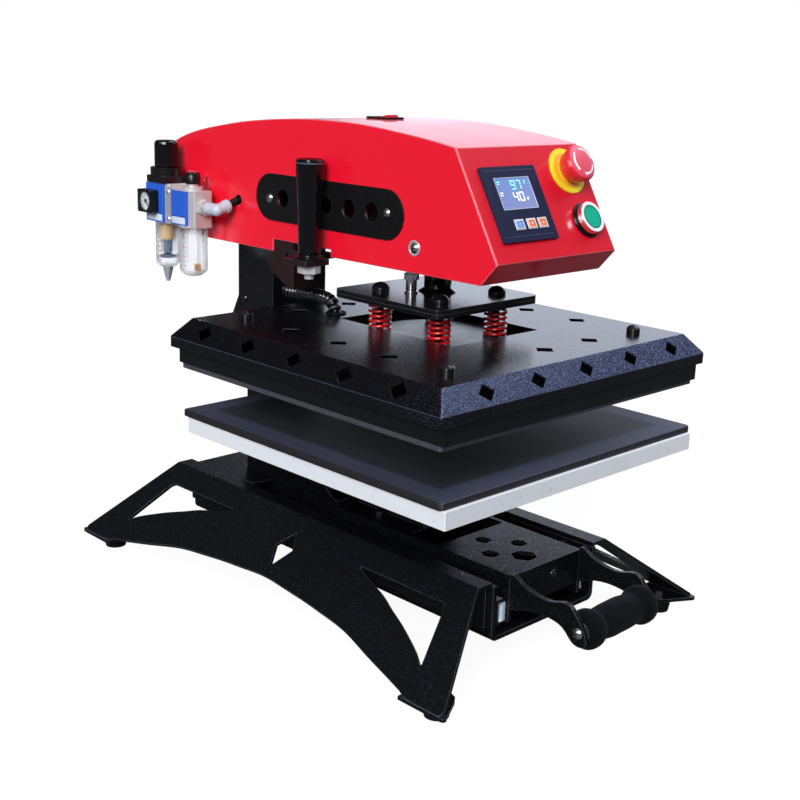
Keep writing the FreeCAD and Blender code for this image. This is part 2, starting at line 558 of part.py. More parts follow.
emit("vent_plates", vent(-ARM_W), vent(ARM_W))
hs = []
for s in (1, -1):
    for y, z in VENT_SCREWS:
        hs.append(fuse(cyl(s * (ARM_W - SHEET), y, z, 2.0, SHEET + 1.5, (s, 0, 0)), dome(s * (ARM_W + 1.5), y, z, 5.2, 2.8, (s, 0, 0))))
    hs.append(fuse(cyl(s * (ARM_W - SHEET), SIDE_SCREW[0], SIDE_SCREW[1], 2.0, SHEET, (s, 0, 0)), dome(s * ARM_W, SIDE_SCREW[0], SIDE_SCREW[1], 6.0, 3.2, (s, 0, 0))))
hs.append(fuse(cyl(-37.0, 301.0, 101.5, 3.0, 5.0, (-1, 0, 0)), dome(-42.0, 301.0, 101.5, 5.4, 3.6, (-1, 0, 0))))
emit("housing_screws", *hs)

# ---------------------------------------------------------------- controls on the slope
BEZ_W = 3.2
KEY_X = (-45.6, -27.6, -10.6)
KEY_V, KEY_HX, KEY_HV = -84.1, 5.6, 4.4
case = on_slope(fuse(round_box(CASE_X[0], CASE_X[1], CASE_V[0], CASE_V[1], 0, BEZ_W, 1.4),
                     box(CASE_X[0] + 4, CASE_X[1] - 4, CASE_V[0] + 4, CASE_V[1] - 4, -42, 0)))
LCD = (-59.5, -7.5, -68.3, -34.3)
case = case.cut(on_slope(box(LCD[0], LCD[1], LCD[2], LCD[3], BEZ_W - 2.0, BEZ_W + 2)))
keys = []
for kx in KEY_X:
    case = case.cut(on_slope(box(kx - KEY_HX - 0.3, kx + KEY_HX + 0.3, KEY_V - KEY_HV - 0.3, KEY_V + KEY_HV + 0.3, -4.0, BEZ_W + 2)))
    keys.append(on_slope(fuse(round_box(kx - KEY_HX, kx + KEY_HX, KEY_V - KEY_HV, KEY_V + KEY_HV, -1.5, BEZ_W + 1.2, 1.2))))
emit("controller_case", case)
emit("controller_display", on_slope(box(LCD[0], LCD[1], LCD[2], LCD[3], BEZ_W - 2.0, BEZ_W - 0.4)))
for n, k in zip(("key_left", "key_middle", "key_right"), keys):
    emit(n, k)

ES_RISE = 7.5
emit("estop_base", on_slope(fuse(cyl(ES[0], ES[1], 0, 25.0, 1.6), cyl(ES[0], ES[1], 1.6, 13.5, 1.4), cyl(ES[0], ES[1], -40, 10.9, 40)).cut(cyl(ES[0], ES[1], -12, 9.05, 30))))
emit("estop_stem", on_slope(cyl(ES[0], ES[1], -6, 9.0, 6 + ES_RISE)))
head_pts = [(0, 0), (16.3, 0), (17.3, 0.8), (17.6, 3.0), (18.3, 7.0), (19.2, 10.2), (19.6, 12.0), (19.4, 13.8), (18.5, 15.2), (16.8, 16.3), (13.0, 17.4), (8.0, 18.1), (0, 18.5)]
w = Part.makePolygon([V(r, 0, z) for r, z in head_pts] + [V(0, 0, 0)])
mush = Part.Face(w).revolve(V(0, 0, 0), V(0, 0, 1), 360)
mush.translate(V(ES[0], ES[1], ES_RISE))
emit("estop_head", on_slope(mush))
emit("start_button_ring", on_slope(fuse(cyl(ST[0], ST[1], 0, 18.2, 2.6), cyl(ST[0], ST[1], 2.6, 16.8, 8.0), cyl(ST[0], ST[1], -38, 11.4, 38)).cut(fuse(cyl(ST[0], ST[1], -10, 8.05, 12), cyl(ST[0], ST[1], 1.0, 13.05, 12)))))
sb = on_slope(fuse(cyl(ST[0], ST[1], -5, 8.0, 10), cyl(ST[0], ST[1], 4.6, 13.0, 6.0)))
emit("start_button", sb)

# power switch on the top
SWP = 15.0
sw_frame = fuse(round_box(SW[0] - 14, SW[0] + 14, SW[1] - 17, SW[1] + 17, SW_Z - 0.2, SW_Z + 2.4, 2.5), box(SW[0] - 10.9, SW[0] + 10.9, SW[1] - 13.9, SW[1] + 13.9, SW_Z - 26, SW_Z))
sw_frame = sw_frame.cut(box(SW[0] - 9.2, SW[0] + 9.2, SW[1] - 13.0, SW[1] + 13.0, SW_Z - 11, SW_Z + 4))
emit("power_switch_frame", sw_frame.cut(housing))
RK_Z = SW_Z - 1.5
rock = [(-12.0, 1.6), (-11.0, 6.4), (0.0, 3.6), (11.6, 4.6 - 2.6), (12.0, 0.8), (6.0, -3.4), (0, -4.6), (-6.0, -3.4)]
rocker = prism_yz([(SW[1] + a, RK_Z + b) for a, b in rock], SW[0] - 8.8, SW[0] + 8.8)
emit("power_rocker", fuse(rocker, cyl(SW[0] - 9.15, SW[1], RK_Z, 1.5, 18.3, (1, 0, 0))))

# ---------------------------------------------------------------- air cylinder and press rod
cx, cy = CYL_C
cylinder = fuse(box(cx - 46, cx + 46, cy - 46, cy + 46, 240, 248), ring(cx, cy, 248, 44.0, 40.0, 62.0),
                box(cx - 46, cx + 46, cy - 46, cy + 46, 310, 317),
                *[cyl(cx + sx * 38, cy + sy * 38, 195, 4.0, 120) for sx in (1, -1) for sy in (1, -1)])
cylinder = cylinder.cut(cyl(cx, cy, 238, 10.05, 12))
emit("air_cylinder", cylinder)
piston = fuse(cyl(cx, cy, 295, 39.95, 14.0), cyl(cx, cy, 152, 10.0, 150.0))
emit("piston_rod", piston)
collar = fuse(cone(cx, cy, 150, 21.5, 15.0, 4.5), cyl(cx, cy, 154, 15.0, 5.0), hexagon(cx, cy, 159, 26.0, 15.0, turn=75.0))
collar = collar.cut(cyl(cx, cy, 152, 10.02, 40))
emit("rod_collar", collar)
PB = 45.0
PC = (-2.0, 7.0)      # centre of the bolt pattern
PL_X, PL_Y = (-82.0, 78.0), (-69.0, 91.0)
plates = []
for z0, z1 in ((141.0, 145.3), (145.7, 150.0)):
    p = round_box(PL_X[0], PL_X[1], PL_Y[0], PL_Y[1], z0, z1, 9)
    for sx in (1, -1):
        for sy in (1, -1):
            p = p.cut(cyl(PC[0] + sx * PB, PC[1] + sy * PB, z0 - 1, 4.4, 8))
    plates.append(p)
spacer = cut(box(PL_X[0] + 12, PL_X[1] - 12, PL_Y[0] + 12, PL_Y[1] - 12, 145.3, 145.7), *[cyl(PC[0] + sx * PB, PC[1] + sy * PB, 145, 6.0, 2) for sx in (1, -1) for sy in (1, -1)])
emit("pressure_plates", fuse(plates[0], spacer, plates[1]))
guide = fuse(cyl(-30, 22, 150, 6.0, 87.0), cyl(-30, 22, 150, 7.2, 2.0), cyl(-30, 22, 165, 8.2, 6.0))
emit("guide_rod", guide)

BOSS_Z = 104.0         # top of the round boss the springs stand on
WIRE, COIL_R, TURNS = 1.8, 11.5, 5.2
springs = []
for sx in (1, -1):
    for sy in (1, -1):
        x, y = PC[0] + sx * PB, PC[1] + sy * PB
        rise = 141.0 - BOSS_Z - 2 * WIRE - 0.4
        h = Part.makeHelix(rise / TURNS, rise, COIL_R)
        prof = Part.Wire([Part.Circle(V(COIL_R, 0, 0), V(0, 1, 0.09), WIRE).toShape()])
        coil = Part.Wire(h).makePipeShell([prof], True, True)
        coil.translate(V(x, y, BOSS_Z + WIRE + 0.2))
        springs.append(coil)
emit("platen_springs", *springs)

# ---------------------------------------------------------------- heat platen
hx = 202.5
hy0, hy1 = HEAT_Y - 200.0, HEAT_Y + 199.5
low = box(-hx, hx, hy0, hy1, HEAT_Z, HEAT_Z + HEAT_T)
low = soften(low, 3.0, lambda e: abs(e.BoundBox.ZLength - HEAT_T) < 1e-6 and e.BoundBox.XLength < 1e-6 and e.BoundBox.YLength < 1e-6)
boss = soften(cyl(0.0, 9.0, 79.0, 75.0, BOSS_Z - 79.0), 4.0, lambda e: e.BoundBox.ZMin > BOSS_Z - 0.01)
heat = fuse(low, box(-199, 199, hy0 + 4, hy1 - 3.5, HEAT_Z + HEAT_T, 79.0), boss)
for sx in (1, -1):
    for sy in (1, -1):
        heat = heat.cut(cyl(PC[0] + sx * PB, PC[1] + sy * PB, 92, 4.02, 30))
emit("heating_platen", heat)

RIM_X = 211.5
RIM_Y = (-200.5, 216.0)
TOP_Z = 111.7
INSET = 17.5


def hood(d):
    """Stepped sheet hood outline, drawn d inside the outer skin."""
    low = box(-203.0 + d, 203.0 - d, -197.0 + d, 210.5 - d, HEAT_Z + HEAT_T + 0.0, 80.0 + d)
    rim = box(-RIM_X + d, RIM_X - d, RIM_Y[0] + d, RIM_Y[1] - d, 79.3 + d, 90.8)
    a = [V(x, y, 90.8) for x, y in ((-RIM_X + d, RIM_Y[0] + d), (RIM_X - d, RIM_Y[0] + d), (RIM_X - d, RIM_Y[1] - d), (-RIM_X + d, RIM_Y[1] - d))]
    i = INSET + d * 0.6
    b = [V(x, y, TOP_Z - d) for x, y in ((-RIM_X + i, RIM_Y[0] + i), (RIM_X - i, RIM_Y[0] + i), (RIM_X - i, RIM_Y[1] - i), (-RIM_X + i, RIM_Y[1] - i))]
    loft = Part.makeLoft([Part.makePolygon(a + [a[0]]), Part.makePolygon(b + [b[0]])], True, True)
    return fuse(low, rim, loft)


hood_out = hood(0.0)
hood_out = soften(hood_out, 2.0, lambda e: e.BoundBox.ZMin > 78 and e.BoundBox.ZLength > 8)
cover = hood_out.cut(hood(2.0)).cut(box(-201, 201, -195, 208.5, HEAT_Z, 70))
cover = cover.cut(round_box(-61, 75, -72.5, 101.5, 100, 115, 2))
DG, DH = 75.0, 11.5
GC = (4.0, 10.0)
tools = []
for i in range(-2, 3):
    for j in range(-2, 3):
        x, y = GC[0] + DG * i, GC[1] + DG * j
        if abs(x) < 90 and abs(y - cy) < 90 and not (abs(i) == 1 and abs(j) > 1) and not (abs(j) > 1):
            if abs(x) < 68 + DH and abs(y - cy) < 86 + DH:
                continue
        if abs(x + 44) < 24 and abs(y - 129) < 24:
            continue
        if abs(i) == 2 and abs(j) == 2 or (i, j) == (-1, -2):
            continue
        tools.append(prism_xy([(x - DH, y), (x, y - DH), (x + DH, y), (x, y + DH)], 105, 115))
bl = math.hypot(INSET, TOP_Z - 90.8)
cb, sb_ = INSET / bl, (TOP_Z - 90.8) / bl
for k in range(-2, 3):
    y = 13.0 + DG * k
    for s in (1, -1):
        xm, zm = s * (RIM_X - INSET / 2), (TOP_Z + 90.8) / 2
        pts = [V(xm, y - DH, zm), V(xm - s * cb * 9.5, y, zm + sb_ * 9.5), V(xm, y + DH, zm), V(xm + s * cb * 9.5, y, zm - sb_ * 9.5)]
        f = Part.Face(Part.makePolygon(pts + [pts[0]]))
        n = V(s * sb_, 0, cb)
        f.translate(n * -5)
        tools.append(f.extrude(n * 10))
    x = 8.0 + DG * k
    for s in (1, -1):
        ym = RIM_Y[0] + INSET / 2 if s < 0 else RIM_Y[1] - INSET / 2
        pts = [V(x - DH, ym, zm), V(x, ym - s * cb * 9.5, zm + sb_ * 9.5), V(x + DH, ym, zm), V(x, ym + s * cb * 9.5, zm - sb_ * 9.5)]
        f = Part.Face(Part.makePolygon(pts + [pts[0]]))
        n = V(0, s * sb_, cb)
        f.translate(n * -5)
        tools.append(f.extrude(n * 10))
for t in tools:
    cover = cover.cut(t)
# studs, and the conduit's entry
STUDS = [(sx * 149.0, 6.0 + sy * 153.0) for sx in (1, -1) for sy in (1, -1)]
for x, y in STUDS:
    cover = cover.cut(cyl(x, y, 105, 4.05, 10))
CEND = (-45.4, 125.5)
cover = cover.cut(cyl(CEND[0], CEND[1] + 1.0, 105, 9.8, 10))
emit("platen_cover", cover)
pbolts = []
for sx in (1, -1):
    for sy in (1, -1):
        x, y = PC[0] + sx * PB, PC[1] + sy * PB
        pbolts.append(fuse(cyl(x, y, 92, 4.0, 58.5), cyl(x, y, 150.3, 9.7, 3.5), dome(x, y, 153.8, 9.7, 5.6)))
for x, y in STUDS:
    pbolts.append(fuse(cyl(x, y, 79.0, 4.0, TOP_Z - 79.0), cyl(x, y, TOP_Z, 7.4, 5.5), dome(x, y, TOP_Z + 5.5, 7.4, 4.3)))
emit("platen_bolts", *pbolts)

# corrugated conduit between the swing column and the heat platen
conduit = pipe([(-18.0, 246.0, 117.0), (-18.0, 230.0, 117.0), (-29.0, 197.0, 122.0), (-36.8, 163.0, 125.2), (-42.0, 139.5, 124.5), (-45.0, 127.5, 116.0), (-45.4, 125.6, 103.0)], 7.9)
emit("conduit", conduit)

# ---------------------------------------------------------------- swing handle
HX, HY = -113.0, 96.0
tab = prism_xy([(-130, 83.5), (-128.5, 82), (-97, 82), (-95, 84), (-95, 114), (-60, 114), (-60, 152), (-92, 152), (-92, 120), (-128.5, 120), (-130, 118.5)], 178.0, 184.0)
tab = tab.cut(cyl(HX, HY, 177, 5.02, 9))
front = box(-92, -45, 148, 152, 141, 184)
gus = [(150, 141), (153, 141), (168, 147), (187, 157), (193, 168), (190, 178), (184, 180.4), (181.8, 180.4), (181.8, 194), (150, 194)]
gusset = prism_yz(gus, -92, -87)
slot = fuse(cyl(-93, 160, 172.0, 2.6, 7, (1, 0, 0)), cyl(-93, 160, 179.0, 2.6, 7, (1, 0, 0)), box(-93, -86, 157.4, 162.6, 172, 179))
bracket = fuse(tab, front, gusset.cut(slot))
emit("handle_bracket", bracket)
gp = [(5.05, 189.6), (11.3, 189.6), (12.1, 190.4), (12.3, 193), (12.4, 205), (12.8, 225), (13.7, 250), (14.7, 268), (15.3, 278), (15.5, 285), (15.3, 288.2), (14.5, 289.9), (13.2, 290.4), (12.2, 289.8), (8.0, 288.9), (0, 288.6), (0, 260), (5.05, 260)]
grip = revolve_z(gp, HX, HY)
ring_n = ring(HX, HY, 184.0, 12.6, 5.02, 5.4)
ring_n = soften(ring_n, 1.0, lambda e: e.BoundBox.XLength > 20)
stud = cyl(HX, HY, 162.5, 5.0, 97.0)
nut = hexagon(HX, HY, 169.0, 21.5, 9.0, turn=20).cut(cyl(HX, HY, 168, 5.02, 11))
emit("swing_grip", grip, ring_n, stud, nut)

# ---------------------------------------------------------------- air preparation unit
AX = -117.0
strip = fuse(box(-134.2, -132.2, 324.4, 333.4, 197.0, 240.5), box(-104.0, -100.0, 318.0, 350.0, 197.0, 240.0), box(-104.0, -100.0, 318.0, 331.0, 240.0, 258.0), box(-100.0, -ARM_W, 326.0, 342.0, 205.0, 235.0),
             box(-132.2, -104.0, 331.2, 332.8, 197.0, 240.5))
emit("air_unit_bracket", strip,
     *[dome(-134.2, y, z, 3.4, 2.0, (-1, 0, 0)) for y, z in ((328.8, 234.6), (328.8, 203.0))])
lub = fuse(box(-130.0, -104.2, 282.0, 331.0, 196.0, 238.5), cyl(AX, 303, 196.0, 17.0, 2.0), cyl(AX, 303, 238.0, 12.4, 5.0), cyl(AX, 303.5, 242.8, 6.8, 3.4), cyl(AX, 303.5, 246.0, 8.6, 12.0), cone(AX, 303.5, 258.0, 8.6, 7.6, 1.0),
           hexagon(-118.0, 282.0, 220.0, 17.0, 7.0, (0, -1, 0), 30))
lub = soften(lub, 2.0, lambda e: abs(e.BoundBox.ZLength - 42.5) < 0.01 and e.BoundBox.XLength < 0.01 and e.BoundBox.YLength < 0.01)
lub = lub.cut(cyl(-118.0, 274.0, 220.0, 4.0, 20, (0, 1, 0)))
emit("lubricator_head", lub)


def bowl(x, y, z_top, z_bot, r, wall):
    h = z_top - z_bot
    o = fuse(cyl(x, y, z_bot + r * 0.55, r, h - r * 0.55), dome(x, y, z_bot + r * 0.55, r, r * 0.55, (0, 0, -1)))
    ri = r - wall
    i = fuse(cyl(x, y, z_bot + r * 0.55, ri, h), dome(x, y, z_bot + r * 0.55, ri, r * 0.55 - wall, (0, 0, -1)))
    return o.cut(i)


emit("lubricator_bowl", bowl(AX, 303, 196.0, 136.5, 17.0, 2.0))
reg = fuse(box(-130.0, -104.2, 333.0, 382.0, 196.0, 243.0), box(-132.5, -102.5, 338.0, 376.0, 243.0, 251.0), cyl(AX, 357, 251.0, 19.0, 10.0), cyl(AX, 357, 196.0, 14.5, 1.0),
           hexagon(-117.0, 382.0, 219.0, 19.0, 4.0, (0, 1, 0), 30))
reg = soften(reg, 2.0, lambda e: abs(e.BoundBox.ZLength - 47.0) < 0.01 and e.BoundBox.XLength < 0.01 and e.BoundBox.YLength < 0.01)
INLET = (-117.0, 386.0, 219.0)
reg = cut(reg, cyl(INLET[0], INLET[1] - 12.0, INLET[2], 5.7, 13, (0, 1, 0)), cyl(AX, 357, 255.0, 5.05, 12))
emit("regulator_body", reg)
fb = bowl(AX, 357, 196.0, 139.5, 14.5, 1.8)
fb = fuse(fb, cone(AX, 357, 126.5, 3.2, 6.2, 14.4), cyl(AX, 357, 122.7, 2.4, 4.0))
emit("filter_bowl", fb, fuse(cyl(AX, 357, 163.0, 8.0, 30.0), cyl(AX, 357, 159.5, 10.8, 3.5), cyl(AX, 357, 193.0, 4.0, 3.0)))
cov1 = round_box(-134.0, -130.0, 294.5, 323.6, 198.0, 237.5, 0.8)
cov2 = round_box(-134.0, -130.0, 341.5, 376.5, 197.0, 242.0, 0.8)
emit("air_unit_covers", cov1, cov2)
KZ = 261.4
kn = revolve_z([(0, KZ), (13.2, KZ), (14.0, KZ + 0.8), (14.0, KZ + 27), (13.2, KZ + 29.5), (11.0, KZ + 31), (0, KZ + 31.4)], AX, 357)
for i in range(20):
    a = 2 * math.pi * i / 20
    kn = kn.cut(cyl(AX + 14.6 * math.cos(a), 357 + 14.6 * math.sin(a), KZ + 3, 1.25, 24))
kn = fuse(kn, cyl(AX, 357, 257.0, 5.0, 5.0))
emit("regulator_knob", kn)
GY, GZ = 363.0, 221.5
g = round_box(-13.5, 13.5, -13.5, 13.5, 0, 11.5, 2.0)
g = g.cut(cyl(0, 0, 7.5, 11.2, 5))
g = fuse(g, cyl(0, 0, -0.5, 5.0, 1.0))
g.Placement = FreeCAD.Placement(V(-134.5, GY, GZ), FreeCAD.Rotation(V(0, 0, 1), V(-1, 0, 0)))
gpin = cyl(-142.0, GY, GZ, 1.0, 2.2, (-1, 0, 0))
g = fuse(g, gpin)
emit("pressure_gauge", g)
ang = math.radians(225)
nd = fuse(cyl(-143.0, GY, GZ, 2.4, 0.9, (-1, 0, 0)), box(-143.9, -143.2, GY - 0.7, GY + 0.7, GZ, GZ + 9.0)).cut(cyl(-142.0, GY, GZ, 1.05, 4, (-1, 0, 0)))
nd.rotate(V(-143, GY, GZ), V(-1, 0, 0), -135)
emit("gauge_needle", nd)

# air elbow and the short hose into the arm
ED = (0.966, 0, 0.259)
el = cyl(-118.0, 275.0, 220.0, 6.6, 3.5, (0, -1, 0))
for q in (cyl(-118.0, 272.2, 220.0, 7.4, 9.6, (0, -1, 0)), cyl(-118.0, 264.0, 220.0, 6.9, 10.0, (0, -1, 0)), Part.makeSphere(7.3, V(-118.0, 254.0, 220.0), V(0, 1, 0)),
          cyl(-118.0, 254.0, 220.0, 6.8, 13.0, ED).fuse(cyl(-107.4, 254.0, 222.84, 7.9, 4.5, ED))):
    el = el.fuse(q)
el = el.cut(cyl(-112.0, 254.0, 221.6, 4.05, 12, ED)).cut(cyl(-105.5, 254.0, 223.34, 4.8, 6, ED))
emit("air_elbow", el)
emit("air_hose", pipe([(-111.5, 254.0, 221.73), (-100.5, 254.0, 224.68), (-97.0, 247.4, 230.9), (-84.0, 246.3, 231.5)], 4.0))
gl = fuse(cyl(GLAND[0], 392.0, GLAND[1], 11.0, 4.0, (0, 1, 0)), cyl(GLAND[0], 386.0, GLAND[1], 7.9, 6.0, (0, 1, 0)), cone(GLAND[0], 396.0, GLAND[1], 9.5, 7.0, 8.0, (0, 1, 0)), hexagon(GLAND[0], 389.0, GLAND[1], 18.0, 3.0, (0, -1, 0)))
gl = gl.cut(cyl(GLAND[0], 384.0, GLAND[1], 4.5, 24.0, (0, 1, 0)))
emit("cable_gland", gl)
sv = fuse(box(45, 75, 110, 170, 198.0, 222.0), cyl(60, 125, 222.0, 11.0, 24.0), cyl(60, 155, 222.0, 11.0, 24.0))
emit("solenoid_valve", sv)

print(len(written), "nodes")
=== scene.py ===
import bpy, bmesh
import math, random
import numpy as np
from mathutils import Matrix, Vector


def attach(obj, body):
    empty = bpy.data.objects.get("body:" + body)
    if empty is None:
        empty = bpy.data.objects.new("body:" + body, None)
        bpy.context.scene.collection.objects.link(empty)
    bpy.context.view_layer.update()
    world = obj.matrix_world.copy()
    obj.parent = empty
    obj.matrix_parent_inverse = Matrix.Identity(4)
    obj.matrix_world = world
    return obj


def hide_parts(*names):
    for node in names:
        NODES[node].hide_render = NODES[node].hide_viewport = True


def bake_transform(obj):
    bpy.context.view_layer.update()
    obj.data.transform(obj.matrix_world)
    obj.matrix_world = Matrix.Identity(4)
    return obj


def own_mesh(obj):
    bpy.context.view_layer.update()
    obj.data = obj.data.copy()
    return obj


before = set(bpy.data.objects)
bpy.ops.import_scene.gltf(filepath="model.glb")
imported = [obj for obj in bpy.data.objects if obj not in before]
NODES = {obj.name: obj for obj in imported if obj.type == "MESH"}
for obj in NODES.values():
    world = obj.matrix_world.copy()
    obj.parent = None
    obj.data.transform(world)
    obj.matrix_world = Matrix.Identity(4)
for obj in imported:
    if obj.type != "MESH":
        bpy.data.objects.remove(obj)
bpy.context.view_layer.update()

# The measuring frame: millimetres, zero at the centre of the lower platen's top. SHIFT takes it to the row frame.
SHIFT = Vector((0.0, -70.8, 215.0))


def P(x, y, z):
    return Vector((x + SHIFT.x, y + SHIFT.y, z + SHIFT.z)) / 1000.0


SL_TOP, SL_LOW = (-94.4, 314.5), (-154.6, 209.3)
SL_LEN = math.hypot(SL_TOP[0] - SL_LOW[0], SL_TOP[1] - SL_LOW[1])
SL_A = math.atan2(SL_TOP[1] - SL_LOW[1], SL_TOP[0] - SL_LOW[0])
SLOPE = Matrix.Translation(P(0, *SL_TOP)) @ Matrix.Rotation(SL_A, 4, "X")


# ------------------------------------------------------------------ mesh helpers
def obj_from(name, verts, faces, mat=None, body=None, slot=None, smooth=True, matrix=None):
    me = bpy.data.meshes.new(name)
    me.from_pydata([tuple(v) for v in verts], [], [tuple(f) for f in faces])
    return finish_obj(name, me, mat, body, slot, smooth, matrix)


def finish_obj(name, me, mat, body, slot, smooth=True, matrix=None):
    if matrix is not None:
        me.transform(matrix)
    bm = bmesh.new()
    bm.from_mesh(me)
    bmesh.ops.remove_doubles(bm, verts=bm.verts, dist=1e-7)
    bmesh.ops.recalc_face_normals(bm, faces=bm.faces)
    bm.to_mesh(me)
    bm.free()
    for p in me.polygons:
        p.use_smooth = smooth
    o = bpy.data.objects.new(name, me)
    bpy.context.scene.collection.objects.link(o)
    if mat is not None:
        me.materials.append(mat)
    if body:
        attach(o, body)
    return o


def lathe_data(prof, seg=64, close=False):
    """prof is a list of (r, h); revolves about Z."""
    verts, faces, rings = [], [], []
    for r, h in prof:
        if r < 1e-9:
            rings.append([len(verts)] * seg)
            verts.append((0, 0, h))
        else:
            rings.append(list(range(len(verts), len(verts) + seg)))
            for i in range(seg):
                a = 2 * math.pi * i / seg
                verts.append((r * math.cos(a), r * math.sin(a), h))
    pairs = list(zip(rings, rings[1:]))
    if close:
        pairs.append((rings[-1], rings[0]))
    for a, b in pairs:
        for i in range(seg):
            j = (i + 1) % seg
            f = [a[i], a[j], b[j], b[i]]
            f = [v for k, v in enumerate(f) if v not in f[:k]]
            if len(f) > 2:
                faces.append(f)
    return verts, faces


def frame_to(origin, axis, xdir=None):
    z = Vector(axis).normalized()
    x = Vector(xdir) if xdir is not None else (Vector((1, 0, 0)) if abs(z.x) < 0.9 else Vector((0, 1, 0)))
    x = (x - z * x.dot(z)).normalized()
    y = z.cross(x)
    m = Matrix((x, y, z)).transposed().to_4x4()
    m.translation = Vector(origin)
    return m


def lathe(name, prof_mm, origin, axis, mat, body, slot=None, seg=64, smooth=True, close=False, sharp=None):
    v, f = lathe_data([(r / 1000, h / 1000) for r, h in prof_mm], seg, close)
    o = obj_from(name, v, f, mat, body, slot, smooth, frame_to(origin, axis))
    if sharp is not None:
        edge_split_angle(o, sharp)
    return o


def edge_split_angle(o, deg):
    """Marks edges sharper than the angle, so that smooth shading keeps them crisp."""
    me = o.data
    bm = bmesh.new()
    bm.from_mesh(me)
    for e in bm.edges:
        e.smooth = not (len(e.link_faces) == 2 and e.calc_face_angle(0) > math.radians(deg))
    bm.to_mesh(me)
    bm.free()


def sweep_data(points, radii, seg=16, closed_ends=True):
    """A tube through the points, with a radius at each, carried by parallel frames."""
    pts = [Vector(p) for p in points]
    n = len(pts)
    tang = []
    for i in range(n):
        a, b = pts[max(0, i - 1)], pts[min(n - 1, i + 1)]
        tang.append((b - a).normalized())
    ref = Vector((0, 0, 1)) if abs(tang[0].z) < 0.9 else Vector((1, 0, 0))
    x = (ref - tang[0] * ref.dot(tang[0])).normalized()
    verts, faces = [], []
    for i in range(n):
        if i:
            ax = tang[i - 1].cross(tang[i])
            if ax.length > 1e-9:
                x = Matrix.Rotation(tang[i - 1].angle(tang[i]), 3, ax.normalized()) @ x
        x = (x - tang[i] * x.dot(tang[i])).normalized()
        y = tang[i].cross(x)
        r = radii[i] if hasattr(radii, "__len__") else radii
        for k in range(seg):
            a = 2 * math.pi * k / seg
            verts.append(pts[i] + (x * math.cos(a) + y * math.sin(a)) * r)
    for i in range(n - 1):
        for k in range(seg):
            l = (k + 1) % seg
            faces.append((i * seg + k, i * seg + l, (i + 1) * seg + l, (i + 1) * seg + k))
    if closed_ends:
        faces.append(tuple(reversed(range(seg))))
        faces.append(tuple(range((n - 1) * seg, n * seg)))
    return verts, faces


def rbox_data(x0, x1, y0, y1, z0, z1, r, seg=4, top_r=0.0, tseg=3):
    """A box with rounded vertical edges and a rounded top edge, in the given unit."""
    def outline(inset, rad):
        pts = []
        for cx, cy, a0 in ((x1 - r, y1 - r, 0), (x0 + r, y1 - r, 90), (x0 + r, y0 + r, 180), (x1 - r, y0 + r, 270)):
            for k in range(seg + 1):
                a = math.radians(a0 + 90.0 * k / seg)
                pts.append((cx + (rad) * math.cos(a), cy + (rad) * math.sin(a)))
        return pts
    rows = [(z0, r)]
    if top_r > 0:
        for k in range(tseg + 1):
            a = math.pi / 2 * k / tseg
            rows.append((z1 - top_r + top_r * math.sin(a), r - top_r + top_r * math.cos(a)))
    else:
        rows.append((z1, r))
    verts, faces, n = [], [], 4 * (seg + 1)
    for z, rad in rows:
        for x, y in outline(0, max(rad, 1e-4)):
            verts.append((x, y, z))
    for i in range(len(rows) - 1):
        for k in range(n):
            l = (k + 1) % n
            faces.append((i * n + k, i * n + l, (i + 1) * n + l, (i + 1) * n + k))
    faces.append(tuple(reversed(range(n))))
    faces.append(tuple(range((len(rows) - 1) * n, len(rows) * n)))
    return verts, faces


def rbox(name, b, r, mat, body, slot=None, matrix=None, top_r=0.0, seg=5, tseg=3, smooth=True, sharp=35):
    """b is six numbers in millimetres of the space of matrix, or of the measuring frame."""
    v, f = rbox_data(*b, r, seg, top_r, tseg)
    if matrix is None:
        v = [P(*q) for q in v]
    else:
        v = [Vector(q) / 1000 for q in v]
    o = obj_from(name, v, f, mat, body, slot, smooth, matrix)
    edge_split_angle(o, sharp)
    return o


def flat_shape(name, pts, z0, z1, mat, body, slot=None, matrix=None, sharp=30):
    """Extrudes a flat outline (mm) between z0 and z1 of the matrix's space."""
    n = len(pts)
    v = [Vector((x, y, z0)) / 1000 for x, y in pts] + [Vector((x, y, z1)) / 1000 for x, y in pts]
    f = [tuple(reversed(range(n))), tuple(range(n, 2 * n))] + [(i, (i + 1) % n, n + (i + 1) % n, n + i) for i in range(n)]
    o = obj_from(name, v, f, mat, body, slot, True, matrix)
    edge_split_angle(o, sharp)
    return o


def ring_sector(name, r0, r1, a0, a1, z0, z1, centre, mat, body, slot, matrix, seg=40):
    """A flat arc band (degrees) in the matrix's space, millimetres."""
    v, f = [], []
    for i in range(seg + 1):
        a = math.radians(a0 + (a1 - a0) * i / seg)
        for r in (r0, r1):
            for z in (z0, z1):
                v.append(Vector((centre[0] + r * math.cos(a), centre[1] + r * math.sin(a), z)) / 1000)
    for i in range(seg):
        a, b = 4 * i, 4 * i + 4
        f += [(a, a + 1, b + 1, b), (a + 2, b + 2, b + 3, a + 3), (a + 1, a + 3, b + 3, b + 1), (a, b, b + 2, a + 2)]
    f += [(0, 2, 3, 1), (4 * seg, 4 * seg + 1, 4 * seg + 3, 4 * seg + 2)]
    o = obj_from(name, v, f, mat, body, slot, True, matrix)
    edge_split_angle(o, 35)
    return o


